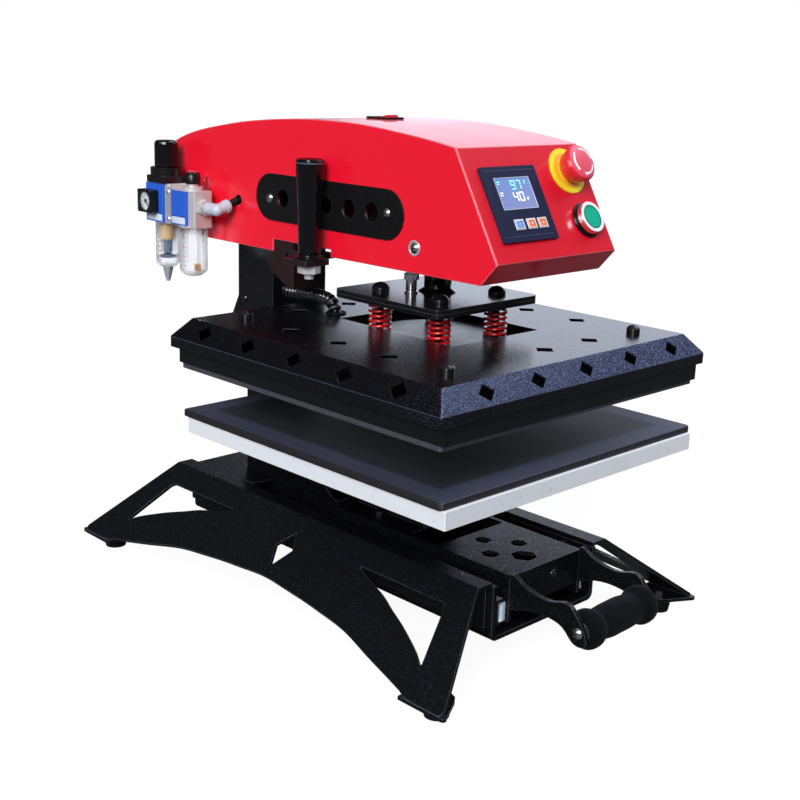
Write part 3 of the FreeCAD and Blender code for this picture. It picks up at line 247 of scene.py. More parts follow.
# ------------------------------------------------------------------ material helpers
class Mat:
    def __init__(self, name, edge=0.0, **kw):
        self.m = bpy.data.materials.new(name)
        self.m.use_nodes = True
        self.nt = self.m.node_tree
        self.nt.nodes.clear()
        self.out = self.new("ShaderNodeOutputMaterial")
        self.b = self.new("ShaderNodeBsdfPrincipled")
        self.link(self.b.outputs[0], self.out.inputs[0])
        self.tc = self.new("ShaderNodeTexCoord")
        self.co = self.tc.outputs["Object"]
        self.nrm = None
        if edge:
            n = self.new("ShaderNodeBevel")
            n.samples = 4
            n.inputs["Radius"].default_value = edge
            self.nrm = n.outputs[0]
        for k, v in kw.items():
            self.set(k, v)

    def new(self, kind):
        return self.nt.nodes.new(kind)

    def link(self, a, b):
        self.nt.links.new(a, b)

    def set(self, key, value):
        s = self.b.inputs[key.replace("_", " ")] if key.replace("_", " ") in self.b.inputs else self.b.inputs[key]
        if hasattr(value, "__len__") and len(value) == 3 and len(getattr(s, "default_value", (0, 0, 0, 0))) == 4:
            value = (*value, 1.0)
        s.default_value = value

    def mapping(self, scale=(1, 1, 1), rot=(0, 0, 0), src=None):
        n = self.new("ShaderNodeMapping")
        n.inputs["Scale"].default_value = scale
        n.inputs["Rotation"].default_value = rot
        self.link(src or self.co, n.inputs["Vector"])
        return n.outputs[0]

    def noise(self, scale, detail=2.0, rough=0.5, src=None, dist=0.0):
        n = self.new("ShaderNodeTexNoise")
        n.inputs["Scale"].default_value = scale
        n.inputs["Detail"].default_value = detail
        n.inputs["Roughness"].default_value = rough
        n.inputs["Distortion"].default_value = dist
        self.link(src or self.co, n.inputs["Vector"])
        return n.outputs[0]

    def voronoi(self, scale, feature="F1", src=None, rnd=1.0):
        n = self.new("ShaderNodeTexVoronoi")
        n.feature = feature
        n.inputs["Scale"].default_value = scale
        n.inputs["Randomness"].default_value = rnd
        self.link(src or self.co, n.inputs["Vector"])
        return n

    def math(self, op, a, b=0.0, c=None, clamp=False):
        n = self.new("ShaderNodeMath")
        n.operation = op
        n.use_clamp = clamp
        for i, v in enumerate((a, b, c)):
            if v is None:
                continue
            if isinstance(v, (int, float)):
                n.inputs[i].default_value = v
            else:
                self.link(v, n.inputs[i])
        return n.outputs[0]

    def vec(self, op, a, b=None, scale=None):
        n = self.new("ShaderNodeVectorMath")
        n.operation = op
        for i, v in enumerate((a, b)):
            if v is None:
                continue
            if isinstance(v, tuple):
                n.inputs[i].default_value = v
            else:
                self.link(v, n.inputs[i])
        if scale is not None:
            if isinstance(scale, (int, float)):
                n.inputs["Scale"].default_value = scale
            else:
                self.link(scale, n.inputs["Scale"])
        return n.outputs[0]

    def ramp(self, fac, stops, interp="LINEAR"):
        n = self.new("ShaderNodeValToRGB")
        n.color_ramp.interpolation = interp
        el = n.color_ramp.elements
        while len(el) < len(stops):
            el.new(0.5)
        for e, (p, c) in zip(el, stops):
            e.position = p
            e.color = (*c, 1.0) if hasattr(c, "__len__") else (c, c, c, 1.0)
        self.link(fac, n.inputs[0])
        return n.outputs[0]

    def mix(self, fac, a, b):
        n = self.new("ShaderNodeMix")
        n.data_type = "RGBA"
        for s, v in ((n.inputs["Factor"], fac), (n.inputs[6], a), (n.inputs[7], b)):
            if isinstance(v, (int, float)):
                s.default_value = v
            elif hasattr(v, "__len__"):
                s.default_value = (*v, 1.0)
            else:
                self.link(v, s)
        return n.outputs[2]

    def bump(self, height, strength=0.3, distance=0.0002, normal=None):
        n = self.new("ShaderNodeBump")
        n.inputs["Strength"].default_value = strength
        n.inputs["Distance"].default_value = distance
        self.link(height, n.inputs["Height"])
        if normal is None:
            normal = self.nrm
        if normal is not None:
            self.link(normal, n.inputs["Normal"])
        return n.outputs[0]

    def to(self, key, out):
        self.link(out, self.b.inputs[key])
        return self

    def xyz(self):
        s = self.new("ShaderNodeSeparateXYZ")
        self.link(self.co, s.inputs[0])
        return s.outputs

    def edges(self, a=0.88, b=0.985):
        """1 on the rounded edges, 0 on the flats."""
        geo = self.new("ShaderNodeNewGeometry")
        dot = self.new("ShaderNodeVectorMath")
        dot.operation = "DOT_PRODUCT"
        self.link(self.nrm, dot.inputs[0])
        self.link(geo.outputs["True Normal"], dot.inputs[1])
        return self.ramp(dot.outputs["Value"], [(a, 1.0), (b, 0.0)])

    def panel_w(self):
        """Height above the sloping panel, in metres."""
        x, y, z = self.xyz()
        p0 = P(0, *SL_TOP)
        sn, cs = math.sin(SL_A), math.cos(SL_A)
        a = self.math("MULTIPLY", self.math("SUBTRACT", y, p0.y), -sn)
        return self.math("ADD", a, self.math("MULTIPLY", self.math("SUBTRACT", z, p0.z), cs))


def powder(name, base, flake, rough, spec=0.5, lump_scale=620.0, lump=0.45, lump_d=0.00016, flake_scale=900.0, share=0.2, tilt=0.55, edge=0.0009, near=0.42, edge_highlight=0.30):
    """Black powder coat: fine lumps, with metallic flakes that catch the light at their own angles, and a painted
    highlight that makes the rounded edges paler.
    """
    t = Mat(name, edge)
    t.set("Specular IOR Level", spec)
    n1 = t.noise(lump_scale, 2.0, 0.55)
    n2 = t.noise(70.0, 3.0, 0.5)
    vor = t.voronoi(flake_scale)
    sep = t.new("ShaderNodeSeparateColor")
    t.link(vor.outputs["Color"], sep.inputs[0])
    mask = t.math("MULTIPLY", t.math("LESS_THAN", vor.outputs["Distance"], near), t.math("GREATER_THAN", sep.outputs[0], 1.0 - share))
    dark = t.mix(n2, tuple(c * 0.75 for c in base), tuple(c * 1.25 for c in base))
    # painted highlight: the rounded edges are mixed towards a pale blue-grey
    t.to("Base Color", t.mix(t.math("MULTIPLY", t.edges(), edge_highlight), t.mix(mask, dark, flake), (0.30, 0.33, 0.42)))
    t.to("Metallic", t.math("MULTIPLY", mask, 0.9))
    rg = t.math("ADD", rough - 0.07, t.math("MULTIPLY", n1, 0.14))
    t.to("Roughness", t.math("ADD", t.math("MULTIPLY", rg, t.math("SUBTRACT", 1.0, mask)), t.math("MULTIPLY", mask, 0.26)))
    nb = t.bump(n1, lump, lump_d)
    off = t.vec("SCALE", t.vec("SUBTRACT", vor.outputs["Color"], (0.5, 0.5, 0.5)), None, t.math("MULTIPLY", mask, tilt))
    t.to("Normal", t.vec("NORMALIZE", t.vec("ADD", nb, off)))
    return t


def plastic(name, color, rough=0.35, bump=0.06, scale=1400.0, spec=0.5, var=0.06, coat=0.0, coat_rough=0.05, edge=0.0004, ret=False):
    t = Mat(name, edge)
    t.set("Specular IOR Level", spec)
    if coat:
        t.set("Coat Weight", coat)
        t.set("Coat Roughness", coat_rough)
    n1 = t.noise(scale, 2.0, 0.5)
    n2 = t.noise(60.0, 3.0, 0.55)
    t.col = t.mix(n2, tuple(c * (1 - var) for c in color), tuple(min(1, c * (1 + var)) for c in color))
    t.to("Base Color", t.col)
    t.rgh = t.math("ADD", rough - 0.04, t.math("MULTIPLY", n2, 0.08))
    t.to("Roughness", t.rgh)
    t.to("Normal", t.bump(n1, bump, 0.00008))
    return t if ret else t.m


def metal(name, color, rough=0.25, stretch=(1, 1, 1), scale=500.0, bump=0.08, var=0.08, metallic=1.0, rvar=0.14, edge=0.0004, ret=False):
    """Metal with directional brushing or turning marks."""
    t = Mat(name, edge)
    t.set("Metallic", metallic)
    v = t.mapping(stretch)
    n1 = t.noise(scale, 3.0, 0.6, v)
    n2 = t.noise(45.0, 3.0, 0.55)
    t.col = t.mix(n2, tuple(c * (1 - var) for c in color), tuple(min(1, c * (1 + var)) for c in color))
    t.to("Base Color", t.col)
    t.rgh = t.math("ADD", rough - rvar / 2, t.math("MULTIPLY", n1, rvar))
    t.to("Roughness", t.rgh)
    t.to("Normal", t.bump(n1, bump, 0.00006))
    return t if ret else t.m


def two_tone(t, mask, color, rough, metallic):
    """Where mask is 1, the surface has another colour, roughness and metalness."""
    t.to("Base Color", t.mix(mask, t.col, color))
    t.to("Roughness", t.math("ADD", t.math("MULTIPLY", t.rgh, t.math("SUBTRACT", 1.0, mask)), t.math("MULTIPLY", mask, rough)))
    m0 = t.b.inputs["Metallic"].default_value
    t.to("Metallic", t.math("ADD", t.math("MULTIPLY", mask, metallic - m0), m0))
    return t.m


def red_paint(name, base, rough, coat=0.55, edge=0.0022):
    t = Mat(name, edge)
    t.set("Specular IOR Level", 0.4)
    t.set("Coat Weight", coat)
    t.set("Coat Roughness", 0.045)
    t.set("Coat IOR", 1.5)
    peel = t.noise(240.0, 2.0, 0.5)
    broad = t.noise(9.0, 2.0, 0.5)
    streak = t.noise(60.0, 3.0, 0.6, t.mapping((1.0, 0.12, 0.12)))
    col = t.mix(broad, tuple(c * 0.95 for c in base), tuple(min(1, c * 1.04) for c in base))
    # painted shade: within the vent openings and behind them, inside the housing, the red is painted near-black
    x, y, z = t.xyz()
    vent_shade = t.math("LESS_THAN", t.math("ABSOLUTE", x), 0.09345)
    for s, lo, hi in ((y, P(0, 6, 0).y, P(0, 178, 0).y), (z, P(0, 0, 229).z, P(0, 0, 253).z)):
        vent_shade = t.math("MULTIPLY", vent_shade, t.math("MULTIPLY", t.math("GREATER_THAN", s, lo), t.math("LESS_THAN", s, hi)))
    # painted shade: the inner faces of the side walls are painted near-black too, as they are in deep shade like the
    # nose chamfer
    wall = t.math("MULTIPLY", t.math("LESS_THAN", t.math("ABSOLUTE", x), 0.09275), t.math("GREATER_THAN", t.math("ABSOLUTE", x), 0.0895))
    wall = t.math("MULTIPLY", wall, t.math("MULTIPLY", t.math("GREATER_THAN", z, P(0, 0, 218).z), t.math("LESS_THAN", z, P(0, 0, 262).z)))
    wall = t.math("MULTIPLY", wall, t.math("GREATER_THAN", y, P(0, -30.0, 0).y))
    vent_shade = t.math("MAXIMUM", vent_shade, wall)
    # painted shade: the sloping control panel is painted a fifth darker than the sides
    slope_shade = t.math("LESS_THAN", t.math("ABSOLUTE", t.panel_w()), 0.0006)
    slope_shade = t.math("MULTIPLY", slope_shade, t.math("LESS_THAN", y, P(0, -93.5, 0).y))
    col = t.mix(slope_shade, col, tuple(c * 0.80 for c in base))
    # painted highlight: the rounded edges are painted paler, pinkish white, where they would catch the light
    painted_edge_highlight = t.edges(0.90, 0.985)
    col = t.mix(t.math("MULTIPLY", painted_edge_highlight, 0.42), col, (0.95, 0.52, 0.60))
    t.to("Base Color", t.mix(vent_shade, col, (0.006, 0.004, 0.005)))
    t.to("Roughness", t.math("ADD", rough - 0.05, t.math("MULTIPLY", streak, 0.10)))
    nb = t.bump(peel, 0.05, 0.0001)
    t.to("Normal", nb)
    t.to("Coat Normal", nb)
    return t.m


M = {}
M["red"] = red_paint("paint_red", (0.84, 0.0060, 0.026), 0.34)
# the arm's base plate: the same red paint, painted darker as shade beneath the arm
M["red_dark"] = red_paint("paint_red_underside_shaded", (0.36, 0.004, 0.010), 0.4, 0.3)
FL = (0.50, 0.56, 0.78)
M["powder"] = powder("powder_black", (0.0022, 0.0024, 0.0040), (0.17, 0.19, 0.28), 0.40, 0.30, 620.0, 0.40, 0.00014, 1100.0, 0.12, 0.35).m
M["powder_fine"] = powder("powder_black_fine", (0.0026, 0.0027, 0.0036), (0.16, 0.18, 0.24), 0.34, 0.26, 760.0, 0.45, 0.00014, 1200.0, 0.12, 0.30).m
M["powder_plate"] = powder("powder_plate", (0.0030, 0.0031, 0.0040), (0.20, 0.22, 0.28), 0.18, 0.45, 600.0, 0.14, 0.00012, 1000.0, 0.05, 0.22, 0.0007).m
M["vent"] = powder("powder_vent", (0.0030, 0.0030, 0.0036), (0.08, 0.085, 0.10), 0.50, 0.25, 700.0, 0.5, 0.00016, 1200.0, 0.08, 0.2, 0.0004, edge_highlight=0.1).m
# the handle bracket: a glossy dark red-brown that paints the red arm's reflection and shade on it
M["gusset"] = powder("dark_red_reflection_and_shade", (0.0180, 0.0070, 0.0085), (0.2, 0.17, 0.19), 0.16, 0.5, 500.0, 0.08, 0.0001, 900.0, 0.04, 0.2, 0.0007).m
M["black_gloss"] = plastic("plastic_black_gloss", (0.0030, 0.0030, 0.0038), 0.13, 0.02, 500.0, 0.50)
# the conduit: a painted highlight, paler along the crests of its ribs
t = plastic("conduit_black", (0.0030, 0.0032, 0.0042), 0.17, 0.02, 700.0, 0.60, edge=0.0, ret=True)
crest_highlight = t.ramp(t.new("ShaderNodeNewGeometry").outputs["Pointiness"], [(0.515, 0.0), (0.57, 1.0)])
t.to("Base Color", t.mix(crest_highlight, (0.0030, 0.0032, 0.0042), (0.085, 0.100, 0.150)))
M["conduit"] = t.m
M["carriage"] = powder("powder_carriage", (0.0022, 0.0024, 0.0034), (0.20, 0.23, 0.31), 0.38, 0.12, 760.0, 0.6, 0.00018, 1200.0, 0.13, 0.32).m
M["black_satin"] = plastic("plastic_black_satin", (0.0042, 0.0044, 0.0056), 0.30, 0.08, 1500.0, 0.4)
M["black_oxide"] = plastic("bolt_black_oxide", (0.0060, 0.0060, 0.0075), 0.20, 0.10, 900.0, 0.6)
M["bezel"] = plastic("bezel_navy", (0.0075, 0.0100, 0.0420), 0.44, 0.10, 2200.0, 0.24)
# a pale blue-grey that paints the highlight on the grip's rim
M["rim_highlight_grey"] = plastic("rim_highlight_grey", (0.13, 0.155, 0.215), 0.25, 0.05)
M["bezel_line"] = plastic("bezel_line", (0.045, 0.050, 0.085), 0.4, 0.05)
M["rubber"] = plastic("rubber_black", (0.0034, 0.0036, 0.0044), 0.62, 0.25, 1100.0, 0.2)
M["chrome"] = metal("chrome", (0.86, 0.87, 0.89), 0.10, (1, 1, 1), 380.0, 0.03, 0.03, 1.0, 0.06)
M["zinc"] = metal("zinc_plate", (0.80, 0.85, 0.90), 0.30, (1, 0.15, 1), 420.0, 0.12, 0.10, 0.7)
M["alu"] = metal("aluminium", (0.80, 0.81, 0.83), 0.34, (0.05, 0.05, 1), 900.0, 0.12, 0.05)
M["bronze"] = metal("bronze", (0.62, 0.40, 0.18), 0.3, (1, 1, 0.1), 500.0)
M["white"] = plastic("plastic_white", (0.86, 0.86, 0.88), 0.28, 0.04)
M["blue"] = plastic("plastic_blue", (0.020, 0.115, 0.62), 0.34, 0.05)
# the stop button's disc: yellow, with a painted reflection of the red head that makes it warmer orange beside the head
t = plastic("plastic_yellow", (0.86, 0.76, 0.020), 0.34, 0.05, ret=True)
c, sn, cs = P(59.0, *SL_TOP), math.sin(SL_A), math.cos(SL_A)
x, y, z = t.xyz()
v = t.math("ADD", t.math("MULTIPLY", t.math("SUBTRACT", y, c.y), cs), t.math("MULTIPLY", t.math("SUBTRACT", z, c.z), sn))
v = t.math("ADD", v, 0.0305)
u = t.math("SUBTRACT", x, c.x)
r = t.math("SQRT", t.math("ADD", t.math("MULTIPLY", u, u), t.math("MULTIPLY", v, v)))
t.to("Base Color", t.mix(t.ramp(t.math("MULTIPLY", r, 40.0), [(0.74, 1.0), (0.84, 0.0)]), t.col, (0.90, 0.46, 0.030)))
M["yellow"] = t.m
M["red_pl"] = plastic("plastic_red", (0.74, 0.022, 0.045), 0.20, 0.03, 700.0, 0.5, 0.05, 0.5)
M["spring"] = plastic("spring_red", (0.50, 0.006, 0.010), 0.18, 0.05, 700.0, 0.6, 0.1, 0.7, edge=0.0)
M["key_blue"] = plastic("key_blue", (0.055, 0.27, 0.78), 0.3, 0.05)
M["key_orange"] = plastic("key_orange", (0.80, 0.19, 0.055), 0.3, 0.05)
M["tan"] = plastic("sinter_tan", (0.60, 0.42, 0.22), 0.75, 0.4, 1300.0)
M["core"] = plastic("filter_core", (0.12, 0.16, 0.24), 0.5, 0.15)
M["amber"] = plastic("amber", (0.50, 0.20, 0.05), 0.3, 0.05)
M["dial"] = plastic("dial_white", (0.80, 0.83, 0.86), 0.45, 0.03)
M["ink"] = plastic("ink_black", (0.012, 0.012, 0.014), 0.5, 0.03)
M["ink_red"] = plastic("ink_red", (0.70, 0.10, 0.10), 0.5, 0.03)
M["ink_green"] = plastic("ink_green", (0.05, 0.42, 0.16), 0.5, 0.03)
M["label"] = plastic("label_strip", (0.62, 0.70, 0.86), 0.4, 0.04)

# die-cast bodies: silver paint, black above a height
for key, name, zsplit in (("reg", "diecast_regulator", 243.0), ("lub", "diecast_lubricator", 246.0)):
    t = metal(name, (0.64, 0.62, 0.63), 0.36, (1, 1, 1), 900.0, 0.15, 0.05, 0.35, ret=True)
    M[key] = two_tone(t, t.math("GREATER_THAN", t.xyz()[2], P(0, 0, zsplit).z), (0.0060, 0.0060, 0.0075), 0.2, 0.0)
# the elbow's thread and nut are metal
t = plastic("elbow_plastic", (0.53, 0.56, 0.67), 0.22, 0.04, ret=True)
M["elbow"] = two_tone(t, t.math("GREATER_THAN", t.xyz()[1], P(0, 271.5, 0).y), (0.74, 0.75, 0.78), 0.2, 1.0)
# the grip is black plastic, its nut and stud chrome
t = plastic("grip_black", (0.0022, 0.0023, 0.0034), 0.10, 0.02, 500.0, 0.55, ret=True)
M["grip"] = two_tone(t, t.math("LESS_THAN", t.xyz()[2], P(0, 0, 183.9).z), (0.92, 0.93, 0.97), 0.24, 0.6)
# chrome screws, with the black one on the column
t = metal("screws", (0.84, 0.86, 0.90), 0.12, (1, 1, 1), 380.0, 0.03, 0.03, 1.0, 0.06, ret=True)
M["screws"] = two_tone(t, t.math("LESS_THAN", t.xyz()[2], P(0, 0, 130).z), (0.006, 0.006, 0.008), 0.2, 0.0)
# painted shade: the front ends of the outer and middle slide members, zinc like the rest, are painted dark
t = metal("zinc_slide", (0.74, 0.80, 0.86), 0.30, (1, 0.15, 1), 420.0, 0.12, 0.10, 0.7, ret=True)
M["zinc_slide"] = two_tone(t, t.math("LESS_THAN", t.xyz()[1], P(0, -159.0, 0).y), (0.010, 0.010, 0.013), 0.4, 0.2)
M["steel_blue"] = metal("steel_bluish", (0.62, 0.78, 0.92), 0.32, (1, 1, 0.1), 420.0, 0.10, 0.10, 0.35)
# the handle's bolts are chrome, the carriage's front one black
t = metal("drawer_bolt", (0.84, 0.86, 0.90), 0.14, (1, 1, 1), 380.0, 0.03, 0.03, 1.0, 0.06, ret=True)
M["drawer_bolt"] = two_tone(t, t.math("GREATER_THAN", t.xyz()[1], P(0, -200.0, 0).y), (0.006, 0.006, 0.008), 0.2, 0.0)
# emergency stop head: glossy side, satin face
t = plastic("estop_red", (0.70, 0.016, 0.035), 0.20, 0.03, 700.0, 0.5, 0.05, ret=True)
M["estop"] = two_tone(t, t.ramp(t.math("MULTIPLY", t.panel_w(), 40.0), [(0.905, 0.0), (0.935, 1.0)]), (0.74, 0.085, 0.14), 0.36, 0.0)
# start button: black body, bright front ring
t = metal("button_ring", (0.80, 0.81, 0.84), 0.30, (1, 1, 1), 500.0, 0.03, 0.03, 1.0, 0.06, ret=True)
M["btn_ring"] = two_tone(t, t.math("LESS_THAN", t.panel_w(), 0.0052), (0.0050, 0.0050, 0.0062), 0.25, 0.0)
M["green"] = plastic("plastic_green", (0.003, 0.40, 0.26), 0.30, 0.03, 700.0, 0.4, 0.04)


def foam():
    t = Mat("foam_black")
    t.set("Specular IOR Level", 0.10)
    t.set("Sheen Weight", 0.04)
    t.set("Sheen Roughness", 0.5)
    t.set("Sheen Tint", (0.55, 0.60, 0.75))
    n1 = t.noise(1100.0, 3.0, 0.65)
    n2 = t.noise(120.0, 3.0, 0.5)
    vor = t.voronoi(900.0)
    t.to("Base Color", t.mix(n2, (0.0012, 0.0014, 0.0022), (0.0026, 0.0029, 0.0044)))
    t.to("Roughness", t.math("ADD", 0.82, t.math("MULTIPLY", n1, 0.15)))
    h = t.math("ADD", n1, t.math("MULTIPLY", vor.outputs["Distance"], 0.8))
    t.to("Normal", t.bump(h, 0.6, 0.00022))
    return t.m


M["foam"] = foam()


def silicone():
    """The pad: dark grey rubber, with a painted shadow of the heat platen that darkens its middle and leaves a paler
    border.
    """
    t = Mat("silicone_grey")
    t.set("Specular IOR Level", 0.35)
    x, y, z = t.xyz()
    edge = t.math("MAXIMUM", t.math("ABSOLUTE", x), t.math("ABSOLUTE", t.math("SUBTRACT", y, P(0, 4.5, 0).y)))
    wob = t.math("MULTIPLY", t.math("SUBTRACT", t.noise(18.0, 3.0, 0.6), 0.5), 0.006)
    # painted shadow of the heat platen: darker inside, a paler border band outside
    fac = t.ramp(t.math("ADD", edge, wob), [(0.170, 0.0), (0.178, 1.0)], "EASE")
    side = t.math("GREATER_THAN", edge, 0.2012)
    n1 = t.noise(800.0, 3.0, 0.6)
    n2 = t.noise(22.0, 4.0, 0.6)
    n3 = t.noise(240.0, 3.0, 0.6)
    inner = t.mix(n2, (0.0095, 0.0105, 0.0150), (0.0160, 0.0175, 0.0240))
    outer = t.mix(n2, (0.036, 0.041, 0.074), (0.052, 0.060, 0.104))
    col = t.mix(t.math("MULTIPLY", n3, 0.25), t.mix(fac, inner, outer), (0.05, 0.05, 0.06))
    t.to("Base Color", t.mix(side, col, (0.014, 0.014, 0.017)))
    t.to("Roughness", t.math("ADD", 0.46, t.math("MULTIPLY", n1, 0.24)))
    t.to("Normal", t.bump(n1, 0.25, 0.00012))
    return t.m


M["silicone"] = silicone()


def alu_side():
    t = Mat("aluminium_plate", 0.0006)
    t.set("Metallic", 0.25)
    n1 = t.noise(700.0, 3.0, 0.6, t.mapping((0.04, 0.04, 1.0)))
    n2 = t.noise(26.0, 4.0, 0.65)
    n3 = t.noise(150.0, 3.0, 0.6)
    base = t.mix(n2, (0.84, 0.89, 0.99), (0.95, 0.98, 1.0))
    spots = t.ramp(n3, [(0.60, 0.0), (0.72, 0.35)])
    t.to("Base Color", t.mix(spots, base, (0.55, 0.57, 0.63)))
    t.to("Roughness", t.math("ADD", 0.38, t.math("MULTIPLY", n1, 0.2)))
    t.to("Normal", t.bump(n1, 0.12, 0.00008))
    return t.m


M["alu_plate"] = alu_side()


def heat_metal():
    """The heating platen: grey metal at its edge, black under the cover, with a glossy boss."""
    t = Mat("heat_plate_metal", 0.0005)
    n1 = t.noise(700.0, 3.0, 0.6, t.mapping((0.05, 0.05, 1.0)))
    n2 = t.noise(30.0, 4.0, 0.6)
    z = t.xyz()[2]
    up = t.math("GREATER_THAN", z, P(0, 0, 62.5).z)
    boss = t.math("GREATER_THAN", z, P(0, 0, 84).z)
    col = t.mix(n2, (0.080, 0.085, 0.110), (0.125, 0.130, 0.160))
    col = t.mix(up, col, (0.0030, 0.0030, 0.0038))
    t.to("Base Color", t.mix(boss, col, (0.014, 0.0145, 0.018)))
    inner = t.math("MULTIPLY", up, t.math("SUBTRACT", 1.0, boss))
    t.to("Metallic", t.math("MULTIPLY", t.math("SUBTRACT", 1.0, up), 0.6))
    rg = t.math("ADD", t.math("MULTIPLY", boss, -0.20), t.math("ADD", 0.38, t.math("MULTIPLY", n1, 0.2)))
    t.to("Roughness", t.math("ADD", rg, t.math("MULTIPLY", inner, 0.35)))
    t.to("Normal", t.bump(n1, 0.12, 0.00008))
    return t.m


M["heat"] = heat_metal()


def hood():
    """The platen cover: glossy grained black, with painted glints and sheen: denser, brighter flakes and a brighter
    navy base on the front bevel, and a painted highlight along the rim's edge; matt brown-black on the skirt.
    """
    t = powder("powder_hood", (0.0026, 0.0028, 0.0044), (0.42, 0.48, 0.68), 0.20, 0.40, 760.0, 0.34, 0.00014, 1300.0, 0.16, 0.30, 0.0012, 0.45)
    x, y, z = t.xyz()
    lower = t.math("LESS_THAN", z, P(0, 0, 79.6).z)
    # painted glints: the flakes are dense and bright on the front bevel, sparse and dim on the left one, and denser
    # towards the front-left corner
    vor = t.voronoi(1900.0)
    sep = t.new("ShaderNodeSeparateColor")
    t.link(vor.outputs["Color"], sep.inputs[0])
    front = t.math("LESS_THAN", y, P(0, -183.0, 0).y)
    # up to the mitre lines at the corners
    mitre = t.math("SUBTRACT", t.math("SUBTRACT", P(0, -183.0, 0).y, y), t.math("SUBTRACT", t.math("ABSOLUTE", x), 0.194))
    front = t.math("MULTIPLY", front, t.math("GREATER_THAN", mitre, 0.0))
    front = t.math("MULTIPLY", front, t.math("GREATER_THAN", z, P(0, 0, 90.6).z))
    left = t.math("MULTIPLY", t.math("LESS_THAN", x, P(-194.0, 0, 0).x), t.math("SUBTRACT", 1.0, front))
    corner = t.math("MULTIPLY", left, t.math("MULTIPLY", t.math("SUBTRACT", P(0, -95.0, 0).y, y), 9.0, clamp=True))
    thr = t.math("ADD", t.math("SUBTRACT", 0.93, t.math("MULTIPLY", front, 0.13)), t.math("MULTIPLY", left, 0.04))
    thr = t.math("SUBTRACT", thr, t.math("MULTIPLY", corner, 0.13))
    mask = t.math("MULTIPLY", t.math("LESS_THAN", vor.outputs["Distance"], 0.45), t.math("GREATER_THAN", sep.outputs[0], thr))
    mask = t.math("MULTIPLY", mask, t.math("SUBTRACT", 1.0, lower))
    n1 = t.noise(760.0, 2.0, 0.55)
    n2 = t.noise(45.0, 3.0, 0.5)
    dark = t.mix(n2, (0.0020, 0.0021, 0.0033), (0.0032, 0.0034, 0.0054))
    # painted sheen: the front bevel's base is a brighter navy
    dark = t.mix(t.math("MULTIPLY", front, 0.8), dark, (0.024, 0.030, 0.078))
    flake = t.mix(t.math("MAXIMUM", front, t.math("MULTIPLY", corner, 0.5)), (0.10, 0.12, 0.18), (0.56, 0.66, 1.0))
    col = t.mix(mask, dark, flake)
    low = t.mix(n2, (0.0018, 0.0021, 0.0036), (0.0032, 0.0036, 0.0060))
    # painted highlight: the rounded lower edge of the bevel, at the rim, is painted pale blue-grey
    rim = t.math("MULTIPLY", t.math("LESS_THAN", z, P(0, 0, 92.5).z), t.math("GREATER_THAN", z, P(0, 0, 88.5).z))
    t.to("Base Color", t.mix(t.math("MULTIPLY", t.math("MULTIPLY", t.edges(), rim), 0.45), t.mix(lower, col, low), (0.30, 0.34, 0.46)))
    t.to("Metallic", t.math("MULTIPLY", mask, 0.9))
    rg = t.math("ADD", 0.15, t.math("MULTIPLY", n1, 0.12))
    rg = t.math("ADD", t.math("MULTIPLY", rg, t.math("SUBTRACT", 1.0, mask)), t.math("MULTIPLY", mask, 0.28))
    t.to("Roughness", t.math("ADD", rg, t.math("MULTIPLY", lower, 0.26)))
    nb = t.bump(n1, 0.34, 0.00014)
    off = t.vec("SCALE", t.vec("SUBTRACT", vor.outputs["Color"], (0.5, 0.5, 0.5)), None, t.math("MULTIPLY", mask, 0.34))
    t.to("Normal", t.vec("NORMALIZE", t.vec("ADD", nb, off)))
    return t.m


M["hood"] = hood()


def clear(name, tint, rough=0.04, see=0.45):
    """Clear plastic: part of it lets the light straight through."""
    t = Mat(name)
    t.set("Transmission Weight", 1.0)
    t.set("IOR", 1.30)
    n1 = t.noise(220.0, 2.0, 0.5)
    t.to("Base Color", t.mix(n1, tuple(c * 0.98 for c in tint), tint))
    t.to("Roughness", t.math("ADD", rough - 0.02, t.math("MULTIPLY", n1, 0.03)))
    t.to("Normal", t.bump(n1, 0.05, 0.0001))
    tr = t.new("ShaderNodeBsdfTransparent")
    tr.inputs[0].default_value = (*tint, 1.0)
    mx = t.new("ShaderNodeMixShader")
    mx.inputs[0].default_value = see
    t.link(t.b.outputs[0], mx.inputs[1])
    t.link(tr.outputs[0], mx.inputs[2])
    t.link(mx.outputs[0], t.out.inputs[0])
    return t.m


M["clear"] = clear("polycarbonate", (0.95, 0.96, 0.975))
M["lens"] = clear("gauge_lens", (0.97, 0.98, 0.99), 0.03, 0.7)


def lcd():
    t = Mat("lcd_window")
    n1 = t.noise(55.0, 3.0, 0.5)
    n2 = t.noise(2600.0, 2.0, 0.5)
    z = t.xyz()[2]
    up = t.math("MULTIPLY", t.math("SUBTRACT", z, P(0, 0, 258).z), 32.0, clamp=True)
    x = t.xyz()[0]
    rt = t.math("MULTIPLY", t.math("ADD", x, 0.060), 14.0, clamp=True)
    col = t.mix(up, (0.155, 0.175, 0.36), (0.105, 0.19, 0.42))
    col = t.mix(t.math("MULTIPLY", rt, 0.40), col, (0.17, 0.21, 0.37))
    col = t.mix(t.math("MULTIPLY", n1, 0.16), col, (0.24, 0.27, 0.44))
    t.to("Base Color", col)
    t.to("Emission Color", col)
    t.set("Emission Strength", 0.62)
    t.set("Specular IOR Level", 0.25)
    t.set("Roughness", 0.20)
    t.to("Normal", t.bump(n2, 0.03, 0.00005))
    return t.m


def glow(name, color, strength):
    t = Mat(name)
    n = t.noise(900.0, 2.0, 0.5)
    col = t.mix(n, tuple(c * 0.92 for c in color), color)
    t.to("Base Color", col)
    t.to("Emission Color", col)
    t.set("Emission Strength", strength)
    t.set("Roughness", 0.3)
    return t.m


M["lcd"] = lcd()
M["digit_white"] = glow("digit_white", (0.95, 0.97, 1.0), 0.75)
M["digit_blue"] = glow("digit_blue", (0.26, 0.66, 1.0), 0.9)
M["digit_cyan"] = glow("digit_cyan", (0.22, 0.78, 0.95), 0.85)

